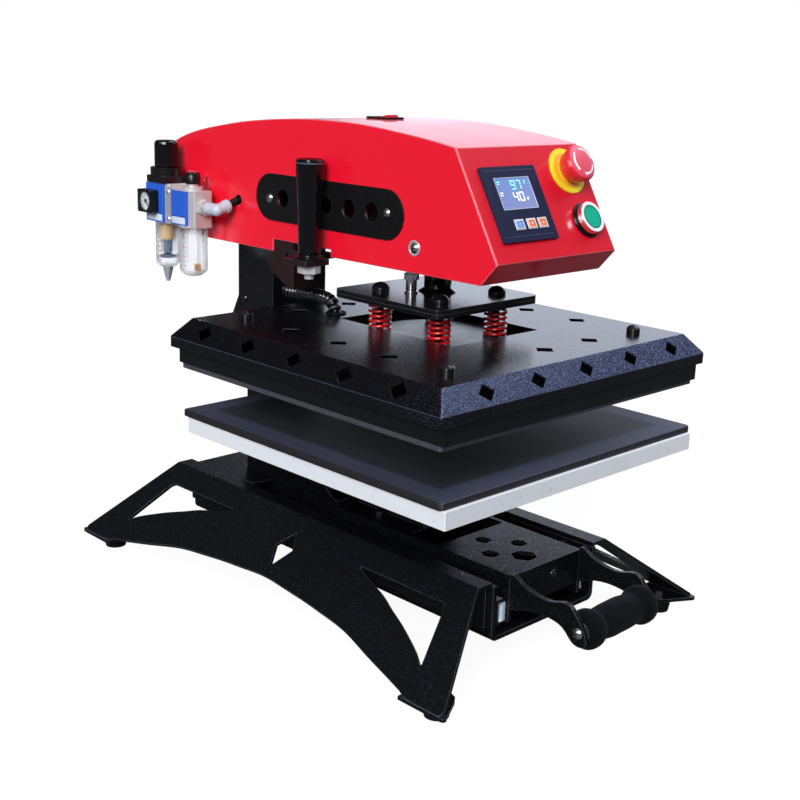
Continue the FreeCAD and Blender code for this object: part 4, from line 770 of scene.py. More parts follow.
# ------------------------------------------------------------------ CAD nodes that stay, with their finish
FINISH = {
    "leg_left": "powder", "leg_right": "powder", "base_channel": "powder_fine", "rear_cover_plate": "powder_fine",
    "pedestal_column": "powder_fine", "bearing_housing": "powder_fine", "pivot_bushes": "bronze", "slide_outer_members": "zinc_slide",
    "slide_mid_members": "zinc_slide", "slide_inner_members": "zinc", "rubber_feet": "rubber", "base_bolts": "black_oxide",
    "drawer_carriage": "carriage", "lower_platen": "alu_plate", "silicone_pad": "silicone", "handle_frame": "powder_fine",
    "foam_grip": "foam", "drawer_bolts": "drawer_bolt", "swing_column": "powder_plate", "arm_housing": "red", "arm_base_plate": "red_dark",
    "vent_plates": "vent", "housing_screws": "screws", "controller_case": "bezel", "controller_display": "lcd",
    "estop_base": "yellow", "estop_stem": "red_pl", "estop_head": "estop", "start_button_ring": "btn_ring", "start_button": "green",
    "key_left": "key_blue", "key_middle": "key_orange", "key_right": "key_orange", "power_switch_frame": "black_satin",
    "power_rocker": "red_pl", "air_cylinder": "alu", "solenoid_valve": "zinc", "piston_rod": "chrome", "rod_collar": "black_gloss",
    "pressure_plates": "powder_plate", "guide_rod": "chrome", "platen_springs": "spring", "heating_platen": "heat",
    "platen_cover": "hood", "platen_bolts": "black_oxide", "conduit": "black_gloss", "swing_grip": "grip",
    "handle_bracket": "gusset", "air_unit_bracket": "zinc", "lubricator_head": "lub", "lubricator_bowl": "clear",
    "regulator_body": "reg", "filter_bowl": "clear", "air_unit_covers": "blue", "pressure_gauge": "black_satin",
    "gauge_needle": "ink", "regulator_knob": "black_gloss", "air_elbow": "elbow", "air_hose": "rubber", "cable_gland": "black_satin",
}
for n, o in NODES.items():
    o.data.materials.clear()
    o.data.materials.append(M[FINISH[n]])

# ------------------------------------------------------------------ light, floor and camera
def sun(name, direction, strength, angle, color=(1, 1, 1)):
    l = bpy.data.lights.new(name, "SUN")
    l.energy = strength
    l.angle = math.radians(angle)
    l.color = color
    o = bpy.data.objects.new(name, l)
    bpy.context.scene.collection.objects.link(o)
    o.rotation_mode = "QUATERNION"
    o.rotation_quaternion = (-Vector(direction)).to_track_quat("-Z", "Y")
    return o


def toward(az, el):
    a, e = math.radians(az), math.radians(el)
    return (math.cos(a) * math.cos(e), math.sin(a) * math.cos(e), math.sin(e))


def studio():
    sc = bpy.context.scene
    sc.view_settings.view_transform = "Standard"
    w = bpy.data.worlds.new("studio")
    sc.world = w
    w.use_nodes = True
    nt = w.node_tree
    nt.nodes.clear()
    new, link = nt.nodes.new, nt.links.new
    out = new("ShaderNodeOutputWorld")
    tc = new("ShaderNodeTexCoord")
    sep = new("ShaderNodeSeparateXYZ")
    link(tc.outputs["Generated"], sep.inputs[0])
    ramp = new("ShaderNodeValToRGB")
    el = ramp.color_ramp.elements
    el[0].position, el[0].color = 0.0, (0.16, 0.16, 0.17, 1)
    el[1].position, el[1].color = 1.0, (0.30, 0.31, 0.34, 1)
    for p, c in ((0.48, 0.16), (0.56, 0.070), (0.75, 0.045), (0.90, 0.12)):
        e = el.new(p)
        e.color = (c, c, c * 1.06, 1)
    half = new("ShaderNodeMath")
    half.operation = "MULTIPLY_ADD"
    half.inputs[1].default_value = 0.5
    half.inputs[2].default_value = 0.5
    link(sep.outputs[2], half.inputs[0])
    link(half.outputs[0], ramp.inputs[0])
    total = ramp.outputs[0]

    def smooth(src, a, b, lo=0.0, hi=1.0):
        n = new("ShaderNodeMapRange")
        n.interpolation_type = "SMOOTHSTEP"
        n.inputs["From Min"].default_value = a
        n.inputs["From Max"].default_value = b
        n.inputs["To Min"].default_value = lo
        n.inputs["To Max"].default_value = hi
        link(src, n.inputs["Value"])
        return n.outputs[0]

    def card(centre, inner, outer, color, extra=None):
        nonlocal total
        d = new("ShaderNodeVectorMath")
        d.operation = "DOT_PRODUCT"
        d.inputs[1].default_value = toward(*centre)
        link(tc.outputs["Generated"], d.inputs[0])
        f = smooth(d.outputs["Value"], math.cos(math.radians(outer)), math.cos(math.radians(inner)))
        for g in extra or ():
            mm = new("ShaderNodeMath")
            mm.operation = "MULTIPLY"
            link(f, mm.inputs[0])
            link(g, mm.inputs[1])
            f = mm.outputs[0]
        s = new("ShaderNodeVectorMath")
        s.operation = "SCALE"
        s.inputs[0].default_value = color
        link(f, s.inputs["Scale"])
        a = new("ShaderNodeVectorMath")
        a.operation = "ADD"
        link(total, a.inputs[0])
        link(s.outputs[0], a.inputs[1])
        total = a.outputs[0]

    low_band = smooth(sep.outputs[2], 0.52, 0.34)
    # a white card low behind the press, to the right
    card((20, 8), 24, 33, (1.25, 1.36, 1.60), (low_band,))
    # a cool softbox high on the right front
    card((-2, 50), 16, 25, (1.9, 2.15, 2.75))
    # a narrow strip on the left
    card((172, 22), 6, 13, (1.5, 1.5, 1.6))
    bg1 = new("ShaderNodeBackground")
    link(total, bg1.inputs[0])
    bg2 = new("ShaderNodeBackground")
    bg2.inputs[0].default_value = (1, 1, 1, 1)
    lp = new("ShaderNodeLightPath")
    mx = new("ShaderNodeMixShader")
    seen = new("ShaderNodeMath")
    seen.operation = "MAXIMUM"
    link(lp.outputs["Is Camera Ray"], seen.inputs[0])
    link(lp.outputs["Is Transmission Ray"], seen.inputs[1])
    link(seen.outputs[0], mx.inputs[0])
    link(bg1.outputs[0], mx.inputs[1])
    link(bg2.outputs[0], mx.inputs[2])
    link(mx.outputs[0], out.inputs[0])

    t = Mat("floor_pale")
    n = t.noise(3.0, 3.0, 0.5)
    t.to("Base Color", t.mix(n, (0.10, 0.10, 0.105), (0.115, 0.115, 0.12)))
    t.set("Roughness", 0.9)
    t.set("Specular IOR Level", 0.0)
    lit = t.new("ShaderNodeEmission")
    lit.inputs[0].default_value = (1, 1, 1, 1)
    lit.inputs[1].default_value = 0.93
    add = t.new("ShaderNodeAddShader")
    mixs = t.new("ShaderNodeMixShader")
    lpf = t.new("ShaderNodeLightPath")
    t.link(t.b.outputs[0], add.inputs[0])
    t.link(lit.outputs[0], add.inputs[1])
    t.link(t.math("MAXIMUM", lpf.outputs["Is Camera Ray"], lpf.outputs["Is Transmission Ray"]), mixs.inputs[0])
    t.link(t.b.outputs[0], mixs.inputs[1])
    t.link(add.outputs[0], mixs.inputs[2])
    t.link(mixs.outputs[0], t.out.inputs[0])
    s = 30.0
    fl = obj_from("floor", [(-s, -s, -0.0005), (s, -s, -0.0005), (s, s, -0.0005), (-s, s, -0.0005)], [(0, 1, 2, 3)], t.m, None, None, False)

    sun("key_left", (-0.75, -0.45, 0.48), 3.8, 34)
    sun("top", (0.35, -0.35, 0.87), 0.55, 40)


studio()

cam = bpy.data.cameras.new("camera")
camera = bpy.data.objects.new("camera", cam)
bpy.context.scene.collection.objects.link(camera)
az, el, roll = math.radians(-44.9), math.radians(15.3), math.radians(1.9)
back = Vector((math.sin(az) * math.cos(el), -math.cos(az) * math.cos(el), math.sin(el)))
fwd = -back
right = fwd.cross(Vector((0, 0, 1))).normalized()
up = right.cross(fwd)
R = right * math.cos(roll) + up * math.sin(roll)
U = -right * math.sin(roll) + up * math.cos(roll)
m = Matrix((R, U, back)).transposed().to_4x4()
m.translation = Vector((-0.9778, -0.9883, 0.6084))
camera.matrix_world = m
cam.lens = 55.84
cam.sensor_width = 36.0
cam.clip_start, cam.clip_end = 0.05, 100.0
bpy.context.scene.camera = camera

# ------------------------------------------------------------------ conduit
ROUTE = [(-18.0, 246.0, 117.0), (-18.0, 230.0, 117.0), (-29.0, 197.0, 122.0), (-36.8, 163.0, 125.2), (-42.0, 139.5, 124.5), (-45.0, 127.5, 116.0), (-45.4, 125.6, 103.0)]


def nurbs_line(name, pts):
    cu = bpy.data.curves.new(name, "CURVE")
    cu.dimensions = "3D"
    sp = cu.splines.new("NURBS")
    sp.points.add(len(pts) - 1)
    for p, q in zip(sp.points, pts):
        p.co = (*P(*q), 1.0)
    sp.order_u = 3
    sp.use_endpoint_u = True
    sp.resolution_u = 40
    o = bpy.data.objects.new(name, cu)
    bpy.context.scene.collection.objects.link(o)
    bpy.context.view_layer.update()
    me = bpy.data.meshes.new_from_object(o)
    line = [v.co.copy() for v in me.vertices]
    bpy.data.objects.remove(o)
    bpy.data.curves.remove(cu)
    bpy.data.meshes.remove(me)
    return line


def even(line, step):
    """Points along the line at an even distance."""
    d = [0.0]
    for a, b in zip(line, line[1:]):
        d.append(d[-1] + (b - a).length)
    n = max(2, int(round(d[-1] / step)))
    xs = np.linspace(0, d[-1], n + 1)
    arr = np.array([list(p) for p in line])
    return [Vector((np.interp(x, d, arr[:, 0]), np.interp(x, d, arr[:, 1]), np.interp(x, d, arr[:, 2]))) for x in xs], d[-1]


def corrugated():
    line = nurbs_line("conduit_route", ROUTE)
    pts, length = even(line, 0.00056)
    pitch = 0.0074
    radii = []
    for i in range(len(pts)):
        s = length * i / (len(pts) - 1)
        ph = (s / pitch) % 1.0
        rib = 0.5 + 0.5 * math.cos(2 * math.pi * (ph - 0.5))
        radii.append(0.0052 + 0.00266 * rib)
    v, f = sweep_data(pts, radii, 36)
    o = obj_from("conduit_corrugated", v, f, M["conduit"], None, "black_plastic")
    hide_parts("conduit")
    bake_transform(o)
    [tuple(p) for p in pts[::6] + [pts[-1]]]
    # collars where it enters the column and the cover
    d0 = (pts[6] - pts[0]).normalized()
    ring = lathe("conduit_collar", [(7.95, -0.2), (10.6, -0.2), (11.0, 0.4), (11.0, 2.4), (10.2, 3.4), (8.3, 3.6), (7.95, 3.0)], P(-18, 246, 117), tuple(d0), M["black_satin"], "swing_head", "black_plastic", 48, close=True, sharp=40)
    ring2 = lathe("conduit_grommet", [(8.1, -1.2), (9.6, -1.2), (9.6, 0.1), (11.6, 0.1), (11.9, 0.8), (11.2, 1.7), (8.6, 1.9), (8.1, 1.4)], P(-45.4, 126.5, 111.7), (0, 0, 1), M["rubber"], "heat_platen", "rubber_black", 48, close=True, sharp=40)


corrugated()


# ------------------------------------------------------------------ platen springs
def springs():
    allv, allf = [], []
    wire, rad, z0, z1 = 1.8, 11.5, 104.0, 141.0
    lo, hi = z0 + wire + 0.05, z1 - wire - 0.05
    turns, flat = 6.9, 0.85
    n = 240
    for sx in (1, -1):
        for sy in (1, -1):
            cx, cy = -2.0 + 45.0 * sx, 7.0 + 45.0 * sy
            a0 = 0.8 * sx + 1.3 * sy
            pts = []
            for i in range(n + 1):
                u = turns * i / n
                if u < flat:
                    h = wire * 0.9 * (u / flat) ** 1.5
                elif u > turns - flat:
                    h = (hi - lo) - wire * 0.9 * ((turns - u) / flat) ** 1.5
                else:
                    k = (u - flat) / (turns - 2 * flat)
                    h = wire * 0.9 + (hi - lo - wire * 1.8) * (k + 0.012 * math.sin(2 * math.pi * k))
                a = a0 + 2 * math.pi * u
                pts.append(P(cx + rad * math.cos(a), cy + rad * math.sin(a), lo + h))
            radii = [0.0018 * min(1.0, 0.55 + 0.45 * min(i, n - i) / 14.0) for i in range(n + 1)]
            v, f = sweep_data(pts, radii, 14)
            k = len(allv)
            allv += v
            allf += [tuple(a + k for a in q) for q in f]
    o = obj_from("platen_coil_springs", allv, allf, M["spring"], "press_head", "spring_red")
    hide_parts("platen_springs")
    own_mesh(o)
    # seat washers on the boss
    for k, (sx, sy) in enumerate(((1, 1), (1, -1), (-1, 1), (-1, -1))):
        lathe("spring_seat_%d" % k, [(4.3, 0.0), (12.8, 0.0), (13.2, 0.25), (12.9, 0.55), (9.6, 0.55), (9.2, 0.3), (4.3, 0.3)], P(-2.0 + 45.0 * sx, 7.0 + 45.0 * sy, 103.7), (0, 0, 1), M["black_oxide"], "heat_platen", "black_steel", 40, close=True, sharp=40)


springs()


# ------------------------------------------------------------------ foam grip and silicone pad
def foam_grip():
    half = [(0, 17.9), (5, 17.88), (10, 17.8), (14, 17.65), (18, 17.4), (22, 17.1), (25, 16.8), (28, 16.55), (30, 16.4), (31.4, 16.4), (32.5, 16.6), (34.5, 17.6), (37, 19.4), (38.6, 20.1), (40, 20.5), (42, 20.8), (43.5, 20.9), (45.3, 20.85), (47, 20.7), (48.6, 20.4), (50, 19.9), (51.1, 19.3), (52.0, 18.4), (52.7, 17.3), (53.0, 16.2), (53.0, 12.6), (52.6, 11.5), (51.6, 11.1)]
    prof = [(r, -x) for x, r in reversed(half)][:-1] + [(r, x) for x, r in half]
    prof = prof + [(11.06, 50.0), (11.06, -50.0)]
    v, f = lathe_data([(r / 1000, h / 1000) for r, h in prof], 96, True)
    out = []
    rnd = random.Random(5)
    ph = [rnd.uniform(0, 6.28) for _ in range(6)]
    for x, y, z in v:
        r = math.hypot(x, y)
        if r > 0.0158:
            a = math.atan2(y, x)
            d = 0.00010 * (math.sin(3 * a + 90 * z + ph[0]) + math.sin(5 * a - 140 * z + ph[1]) + 0.7 * math.sin(260 * z + ph[2])) - 0.00022
            k = (r + d) / r
            x, y = x * k, y * k
        out.append((x, y, z))
    o = obj_from("drawer_foam_grip", out, f, M["foam"], "drawer", "foam", True, frame_to(P(0, -254.0, -144.5), (1, 0, 0)))
    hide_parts("foam_grip")


foam_grip()


def pad():
    x0, x1, y0, y1, z0, z1 = -203.0, 203.0, -197.0, 206.0, 0.0, 7.6
    r, nseg = 5.0, 8
    rows = [(0.0, 0.55), (0.25, 0.15), (0.7, 0.0), (3.8, 0.0), (6.2, 0.05), (6.95, 0.3), (7.4, 0.8), (7.58, 1.5), (7.6, 2.4)]
    verts, faces = [], []
    rings = []
    for h, inset in rows:
        ring = []
        for cx, cy, a0 in ((x1 - r, y1 - r, 0), (x0 + r, y1 - r, 90), (x0 + r, y0 + r, 180), (x1 - r, y0 + r, 270)):
            for k in range(nseg + 1):
                a = math.radians(a0 + 90.0 * k / nseg)
                ring.append(len(verts))
                verts.append(P(cx + (r - inset) * math.cos(a), cy + (r - inset) * math.sin(a), h))
        rings.append(ring)
    n = len(rings[0])
    for a, b in zip(rings, rings[1:]):
        for k in range(n):
            l = (k + 1) % n
            faces.append((a[k], a[l], b[l], b[k]))
    faces.append(tuple(reversed(rings[0])))
    faces.append(tuple(rings[-1]))
    o = obj_from("silicone_sheet", verts, faces, M["silicone"], "drawer", "silicone")
    edge_split_angle(o, 50)
    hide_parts("silicone_pad")


pad()


# ------------------------------------------------------------------ controller face
def frame_lines(name, x0, x1, v0, v1, width, w0, w1, mat, body, slot):
    """A thin rectangular frame on the panel."""
    vs, fs = [], []
    for ox, ov in ((x0, v0), (x1, v0), (x1, v1), (x0, v1)):
        sx = 1 if ox == x0 else -1
        sv = 1 if ov == v0 else -1
        for dx, dv in ((0, 0), (sx * width, sv * width)):
            for w in (w0, w1):
                vs.append(Vector((ox + dx, ov + dv, w)) / 1000)
    for i in range(4):
        a, b = 4 * i, 4 * ((i + 1) % 4)
        fs += [(a, b, b + 1, a + 1), (a + 1, b + 1, b + 3, a + 3), (a + 3, b + 3, b + 2, a + 2), (a + 2, b + 2, b, a)]
    o = obj_from(name, vs, fs, mat, body, slot, True, SLOPE)
    edge_split_angle(o, 30)
    return o


SEG = {"0": "abcdef", "1": "bc", "2": "abged", "3": "abgcd", "4": "fgbc", "5": "afgcd", "6": "afgedc", "7": "abc", "8": "abcdefg", "9": "abcdfg"}


def digits(name, text, x0, v0, w, h, t, gap, z0, z1, mat, body, slot, matrix=None, slant=0.06):
    """Seven-segment figures: x0, v0 is the lower left corner; w by h each, strokes t thick."""
    vs, fs = [], []
    for k, ch in enumerate(text):
        ox = x0 + k * (w + gap)
        e = 0.12 * t
        bars = {"a": ((t * 0.5, h - t / 2), (w - t * 0.5, h - t / 2)), "d": ((t * 0.5, t / 2), (w - t * 0.5, t / 2)), "g": ((t * 0.5, h / 2), (w - t * 0.5, h / 2)),
                "f": ((t / 2, h / 2 + e), (t / 2, h - e)), "e": ((t / 2, e), (t / 2, h / 2 - e)), "b": ((w - t / 2, h / 2 + e), (w - t / 2, h - e)), "c": ((w - t / 2, e), (w - t / 2, h / 2 - e))}
        for s in SEG[ch]:
            (ax, ay), (bx, by) = bars[s]
            d = Vector((bx - ax, by - ay)).normalized()
            nrm = Vector((-d.y, d.x)) * (t * 0.46)
            c = t * 0.4
            pts = [(ax, ay), (ax + d.x * c + nrm.x, ay + d.y * c + nrm.y), (bx - d.x * c + nrm.x, by - d.y * c + nrm.y), (bx, by), (bx - d.x * c - nrm.x, by - d.y * c - nrm.y), (ax + d.x * c - nrm.x, ay + d.y * c - nrm.y)]
            b0 = len(vs)
            for z in (z0, z1):
                for x, y in pts:
                    vs.append(Vector((ox + x + slant * y, v0 + y, z)) / 1000)
            fs.append(tuple(b0 + i for i in reversed(range(6))))
            fs.append(tuple(b0 + 6 + i for i in range(6)))
            for i in range(6):
                j = (i + 1) % 6
                fs.append((b0 + i, b0 + j, b0 + 6 + j, b0 + 6 + i))
    o = obj_from(name, vs, fs, mat, body, slot, True, matrix if matrix is not None else SLOPE)
    edge_split_angle(o, 30)
    return o


def bars(name, rects, z0, z1, mat, body, slot, matrix=None):
    """Small flat marks, each (x0, x1, v0, v1)."""
    vs, fs = [], []
    for x0, x1, v0, v1 in rects:
        b = len(vs)
        for z in (z0, z1):
            for x, v in ((x0, v0), (x1, v0), (x1, v1), (x0, v1)):
                vs.append(Vector((x, v, z)) / 1000)
        fs += [(b, b + 3, b + 2, b + 1), (b + 4, b + 5, b + 6, b + 7)] + [(b + i, b + (i + 1) % 4, b + 4 + (i + 1) % 4, b + 4 + i) for i in range(4)]
    o = obj_from(name, vs, fs, mat, body, slot, True, matrix if matrix is not None else SLOPE)
    edge_split_angle(o, 30)
    return o


bars("bezel_lines", [(-71.0, 2.5, -27.3, -26.7), (-72.0, 0.5, -96.3, -95.7)], 3.0, 3.36, M["bezel_line"], "swing_head", "black_plastic")
frame_lines("lcd_rim", -60.3, -8.2, -68.1, -34.5, 0.5, 2.9, 3.42, M["label"], "swing_head", "white_plastic")
digits("lcd_upper_figures", "97", -38.4, -47.5, 6.9, 10.0, 1.35, 1.6, 2.75, 2.95, M["digit_cyan"], "swing_head", "lcd")
digits("lcd_lower_figures", "40", -39.6, -60.0, 7.0, 10.0, 1.35, 1.7, 2.75, 2.95, M["digit_white"], "swing_head", "lcd")
bars("lcd_marks", [(-57.4, -52.9, -39.2, -38.3), (-57.4, -53.9, -41.3, -40.4), (-17.1, -14.9, -39.0, -38.1), (-17.1, -16.2, -41.9, -39.6)], 2.75, 2.95, M["digit_cyan"], "swing_head", "lcd")
bars("lcd_marks_low", [(-57.3, -53.0, -50.9, -49.9), (-57.3, -53.8, -53.3, -52.3), (-19.9, -17.0, -57.2, -56.2), (-19.9, -19.0, -59.5, -57.8)], 2.75, 2.95, M["digit_white"], "swing_head", "lcd")
KX, KV, KHX, KHV = (-45.6, -27.6, -10.6), -84.1, 5.6, 4.4
for nm, kx, body in (("left", KX[0], "left_key"), ("middle", KX[1], "middle_key"), ("right", KX[2], "right_key")):
    frame_lines("key_border_" + nm, kx - KHX - 1.0, kx + KHX + 1.0, KV - KHV - 0.95, KV + KHV + 0.95, 0.72, 3.0, 3.9, M["white"], "swing_head", "white_plastic")
    frame_lines("key_rim_" + nm, kx - KHX + 0.15, kx + KHX - 0.15, KV - KHV + 0.15, KV + KHV - 0.15, 0.7, 4.2, 4.56, M["white"], body, "white_plastic")
bars("key_mark_left", [(-48.3, -42.9, -84.0, -83.4), (-48.3, -42.9, -85.9, -85.3), (-48.3, -44.6, -82.1, -81.5)], 4.3, 4.5, M["label"], "left_key", "white_plastic")
for nm, kx, body, s in (("middle", KX[1], "middle_key", -1), ("right", KX[2], "right_key", 1)):
    flat_shape("key_mark_" + nm, [(kx - 2.0, KV - 1.2 * s), (kx + 2.0, KV - 1.2 * s), (kx, KV + 1.6 * s)][::s], 4.3, 4.52, M["label"], body, "white_plastic", SLOPE)


# ------------------------------------------------------------------ emergency stop and start button
ES_XV, ST_XV = (59.0, -30.5), (61.0, -86.0)
HEAD = [(0, 26.0), (8.0, 25.6), (13.0, 24.9), (16.8, 23.8), (18.5, 22.7), (19.4, 21.3)]


def on_head(r):
    for (r0, w0), (r1, w1) in zip(HEAD, HEAD[1:]):
        if r0 <= r <= r1:
            return w0 + (w1 - w0) * (r - r0) / (r1 - r0)
    return HEAD[-1][1]


def head_band(name, r0, r1, a0, a1, lift, mat, taper=0.0):
    seg, nr = 30, 4
    vs, fs = [], []
    for low in (0, 1):
        for i in range(seg + 1):
            a = math.radians(a0 + (a1 - a0) * i / seg)
            for k in range(nr + 1):
                r = r0 + (r1 - r0) * k / nr
                vs.append(Vector((ES_XV[0] + r * math.cos(a), ES_XV[1] + r * math.sin(a), on_head(r) + (lift if not low else -0.3))) / 1000)
    n = (seg + 1) * (nr + 1)
    for i in range(seg):
        for k in range(nr):
            a = i * (nr + 1) + k
            fs.append((a, a + nr + 1, a + nr + 2, a + 1))
            fs.append((n + a, n + a + 1, n + a + nr + 2, n + a + nr + 1))
    for i in range(seg):
        for k in (0, nr):
            a = i * (nr + 1) + k
            fs.append((a, a + nr + 1, n + a + nr + 1, n + a))
    for i in (0, seg):
        for k in range(nr):
            a = i * (nr + 1) + k
            fs.append((a, a + 1, n + a + 1, n + a))
    o = obj_from(name, vs, fs, mat, "estop_knob", "white_plastic", True, SLOPE)
    edge_split_angle(o, 35)
    return o


for k, (a, b) in enumerate(((145, 222), (22, 97), (265, 340))):
    head_band("estop_arc_%d" % k, 12.3, 14.6, a, b, 0.14, M["white"])
    # a small arrow point at one end of each arc
    e = math.radians(a - 1)
    pts = []
    for r, da in ((11.0, 0), (15.9, 0), (13.5, -15)):
        q = e + math.radians(da)
        pts.append((ES_XV[0] + r * math.cos(q), ES_XV[1] + r * math.sin(q)))
    flat_shape("estop_arrow_%d" % k, pts[::-1], 23.6, 24.95, M["white"], "estop_knob", "white_plastic", SLOPE)
lathe("estop_rim_line", [(19.66, 19.0), (19.72, 19.4), (19.66, 19.8), (19.4, 19.8), (19.4, 19.0)], SLOPE @ Vector((ES_XV[0] / 1000, ES_XV[1] / 1000, 0)), tuple(SLOPE.to_3x3() @ Vector((0, 0, 1))), M["red_pl"], "estop_knob", "red_plastic", 72, close=True)
ring_sector("estop_disc_edge", 23.4, 24.6, 0, 359.9, 1.55, 1.75, ES_XV, M["yellow"], "swing_head", "yellow_plastic", SLOPE, 90)
ring_sector("start_face_line", 11.3, 12.0, 0, 359.9, 10.5, 10.68, ST_XV, M["ink"], "start_key", "black_plastic", SLOPE, 72)
ring_sector("start_front_ring", 13.3, 16.4, 0, 359.9, 10.5, 10.82, ST_XV, M["white"], "swing_head", "chrome", SLOPE, 80)
lathe("start_collar_bead", [(18.1, 0.4), (18.9, 0.6), (19.1, 1.3), (18.7, 2.2), (18.1, 2.4)], SLOPE @ Vector((ST_XV[0] / 1000, ST_XV[1] / 1000, 0)), tuple(SLOPE.to_3x3() @ Vector((0, 0, 1))), M["black_gloss"], "swing_head", "black_plastic", 72, close=True)


# ------------------------------------------------------------------ crossed recesses of the screws
def cross_marks(name, places, body):
    vs, fs = [], []
    for origin, axis, foot, height, turn in places:
        big = (foot * foot + height * height) / (2 * height)
        m = frame_to(origin, axis) @ Matrix.Rotation(math.radians(turn), 4, "Z")
        for q in (0, 1):
            n, reach, wd = 8, foot * 0.58, foot * 0.11
            base = len(vs)
            for i in range(n + 1):
                s = -reach + 2 * reach * i / n
                for side in (-1, 1):
                    for lift in (0.05, -0.3):
                        x, y = (s, side * wd) if q == 0 else (side * wd, s)
                        z = height - big + math.sqrt(big * big - x * x - y * y) + lift
                        vs.append(m @ (Vector((x, y, z)) / 1000))
            for i in range(n):
                a, b = base + 4 * i, base + 4 * i + 4
                fs += [(a, b, b + 2, a + 2), (a, a + 1, b + 1, b), (a + 2, b + 2, b + 3, a + 3), (a + 1, a + 3, b + 3, b + 1)]
            fs += [(base, base + 2, base + 3, base + 1), (base + 4 * n, base + 4 * n + 1, base + 4 * n + 3, base + 4 * n + 2)]
    o = obj_from(name, vs, fs, M["ink"], body, "black_plastic")
    edge_split_angle(o, 40)
    return o


sc_places = []
for s in (1, -1):
    for k, (y, z) in enumerate(((187.0, 239.4), (-3.2, 242.5))):
        sc_places.append((P(s * 95.0, y, z), (s, 0, 0), 5.2, 2.8, 20 + 31 * k))
    sc_places.append((P(s * 93.5, -43.4, 211.7), (s, 0, 0), 6.0, 3.2, 12))
cross_marks("screw_recesses_head", sc_places, "swing_head")
cross_marks("screw_recesses_strip", [(P(-134.2, y, z), (-1, 0, 0), 3.4, 2.0, 15 + 7 * i) for i, (y, z) in enumerate(((328.8, 234.6), (328.8, 203.0)))], "swing_head")
cross_marks("screw_recesses_drawer", [(P(s * 60.0, -254.0, -144.5), (s, 0, 0), 6.2, 3.6, 30) for s in (1, -1)] + [(P(12.0, -165.0, -130.0), (0, -1, 0), 5.0, 3.0, 40)], "drawer")
for k, s in enumerate((1, -1)):
    lathe("side_screw_washer_%d" % k, [(6.1, 0.0), (8.0, 0.0), (8.2, 0.35), (7.8, 0.8), (6.3, 0.9), (6.1, 0.6)], P(s * 93.5, -43.4, 211.7), (s, 0, 0), M["zinc"], "swing_head", "zinc", 40, close=True, sharp=40)


# ------------------------------------------------------------------ air preparation unit
AX = -117.0


def ribbed_bowl(name, y, z_top, z_bot, r, wall, ribs, mat):
    """A clear bowl with upright ribs, closed by a rounded foot."""
    h = z_top - z_bot
    foot = r * 0.55
    prof = [(0.0, 0.0), (r * 0.35, foot * 0.06), (r * 0.62, foot * 0.2), (r * 0.84, foot * 0.48), (r * 0.96, foot * 0.8), (r, foot * 1.15), (r, h * 0.5), (r, h - 6.0), (r, h - 5.0), (r, h - 3.0), (r, h)]
    ins = [(r - wall, h), (r - wall, h * 0.5), (r - wall, foot * 1.15), (r * 0.84 - wall * 0.8, foot * 0.55), (r * 0.5, foot * 0.2 + wall), (0.0, wall)]
    seg = 96
    v, f = lathe_data([(a / 1000, b / 1000) for a, b in prof + ins], seg)
    out = []
    for x, yy, z in v:
        q = math.hypot(x, yy) * 1000
        hh = z * 1000
        if q > (r - wall * 0.5) and foot < hh < h - 4.0:
            a = math.atan2(yy, x)
            c = 0.5 + 0.5 * math.cos(ribs * a)
            k = 1.0 - 0.055 * (1.0 - c ** 3)
            x, yy = x * k, yy * k
        out.append((x, yy, z))
    return obj_from(name, out, f, mat, "swing_head", "clear_plastic", True, Matrix.Translation(P(AX, y, z_bot)))


bowl = ribbed_bowl("filter_bowl_clear", 357.0, 196.0, 139.5, 14.4, 1.6, 12, M["clear"])
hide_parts("filter_bowl")
bowl2 = ribbed_bowl("lubricator_bowl_clear", 303.0, 196.0, 136.5, 16.9, 1.8, 14, M["clear"])
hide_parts("lubricator_bowl")
Z = (0, 0, 1)
lathe("filter_element", [(0, 174.5), (8.6, 174.5), (9.3, 175.2), (9.3, 191.5), (8.8, 192.2), (4.2, 192.4), (4.2, 196.0), (0, 196.0)], P(AX, 357, 0), Z, M["tan"], "swing_head", "white_plastic", 40, sharp=35)
lathe("filter_core", [(0, 157.0), (3.0, 157.0), (5.6, 158.2), (6.6, 161.0), (6.6, 170.0), (7.8, 171.2), (7.8, 174.4), (0, 174.4)], P(AX, 357, 0), Z, M["core"], "swing_head", "blue_plastic", 40, sharp=35)
lathe("filter_baffle", [(0, 153.4), (10.6, 152.4), (11.2, 153.2), (10.8, 154.4), (3.4, 156.6), (0, 156.9)], P(AX, 357, 0), Z, M["core"], "swing_head", "blue_plastic", 40, sharp=35)
lathe("filter_drain", [(0, 122.7), (1.5, 122.7), (2.5, 123.1), (2.6, 125.6), (3.3, 126.2), (4.3, 130.6), (5.6, 136.2), (6.4, 139.6), (6.8, 141.0), (0, 141.2)], P(AX, 357, 0), Z, M["zinc"], "swing_head", "grey_metal", 36, sharp=35)
lathe("lubricator_tube", [(1.3, 145.0), (2.1, 145.0), (2.1, 195.9), (1.3, 195.9)], P(AX + 3.0, 300, 0), Z, M["white"], "swing_head", "white_plastic", 20, close=True, sharp=35)
lathe("lubricator_intake", [(0, 141.8), (3.4, 142.2), (4.0, 144.0), (4.0, 149.6), (3.2, 151.0), (0, 151.4)], P(AX + 3.0, 300, 0), Z, M["amber"], "swing_head", "white_plastic", 28, sharp=35)
lathe("lubricator_sight", [(0, 238.3), (3.6, 238.3), (3.9, 239.0), (3.9, 253.4), (3.2, 254.6), (0, 254.8)], P(AX + 8.6, 290.4, 0), Z, M["clear"], "swing_head", "clear_plastic", 28, sharp=35)
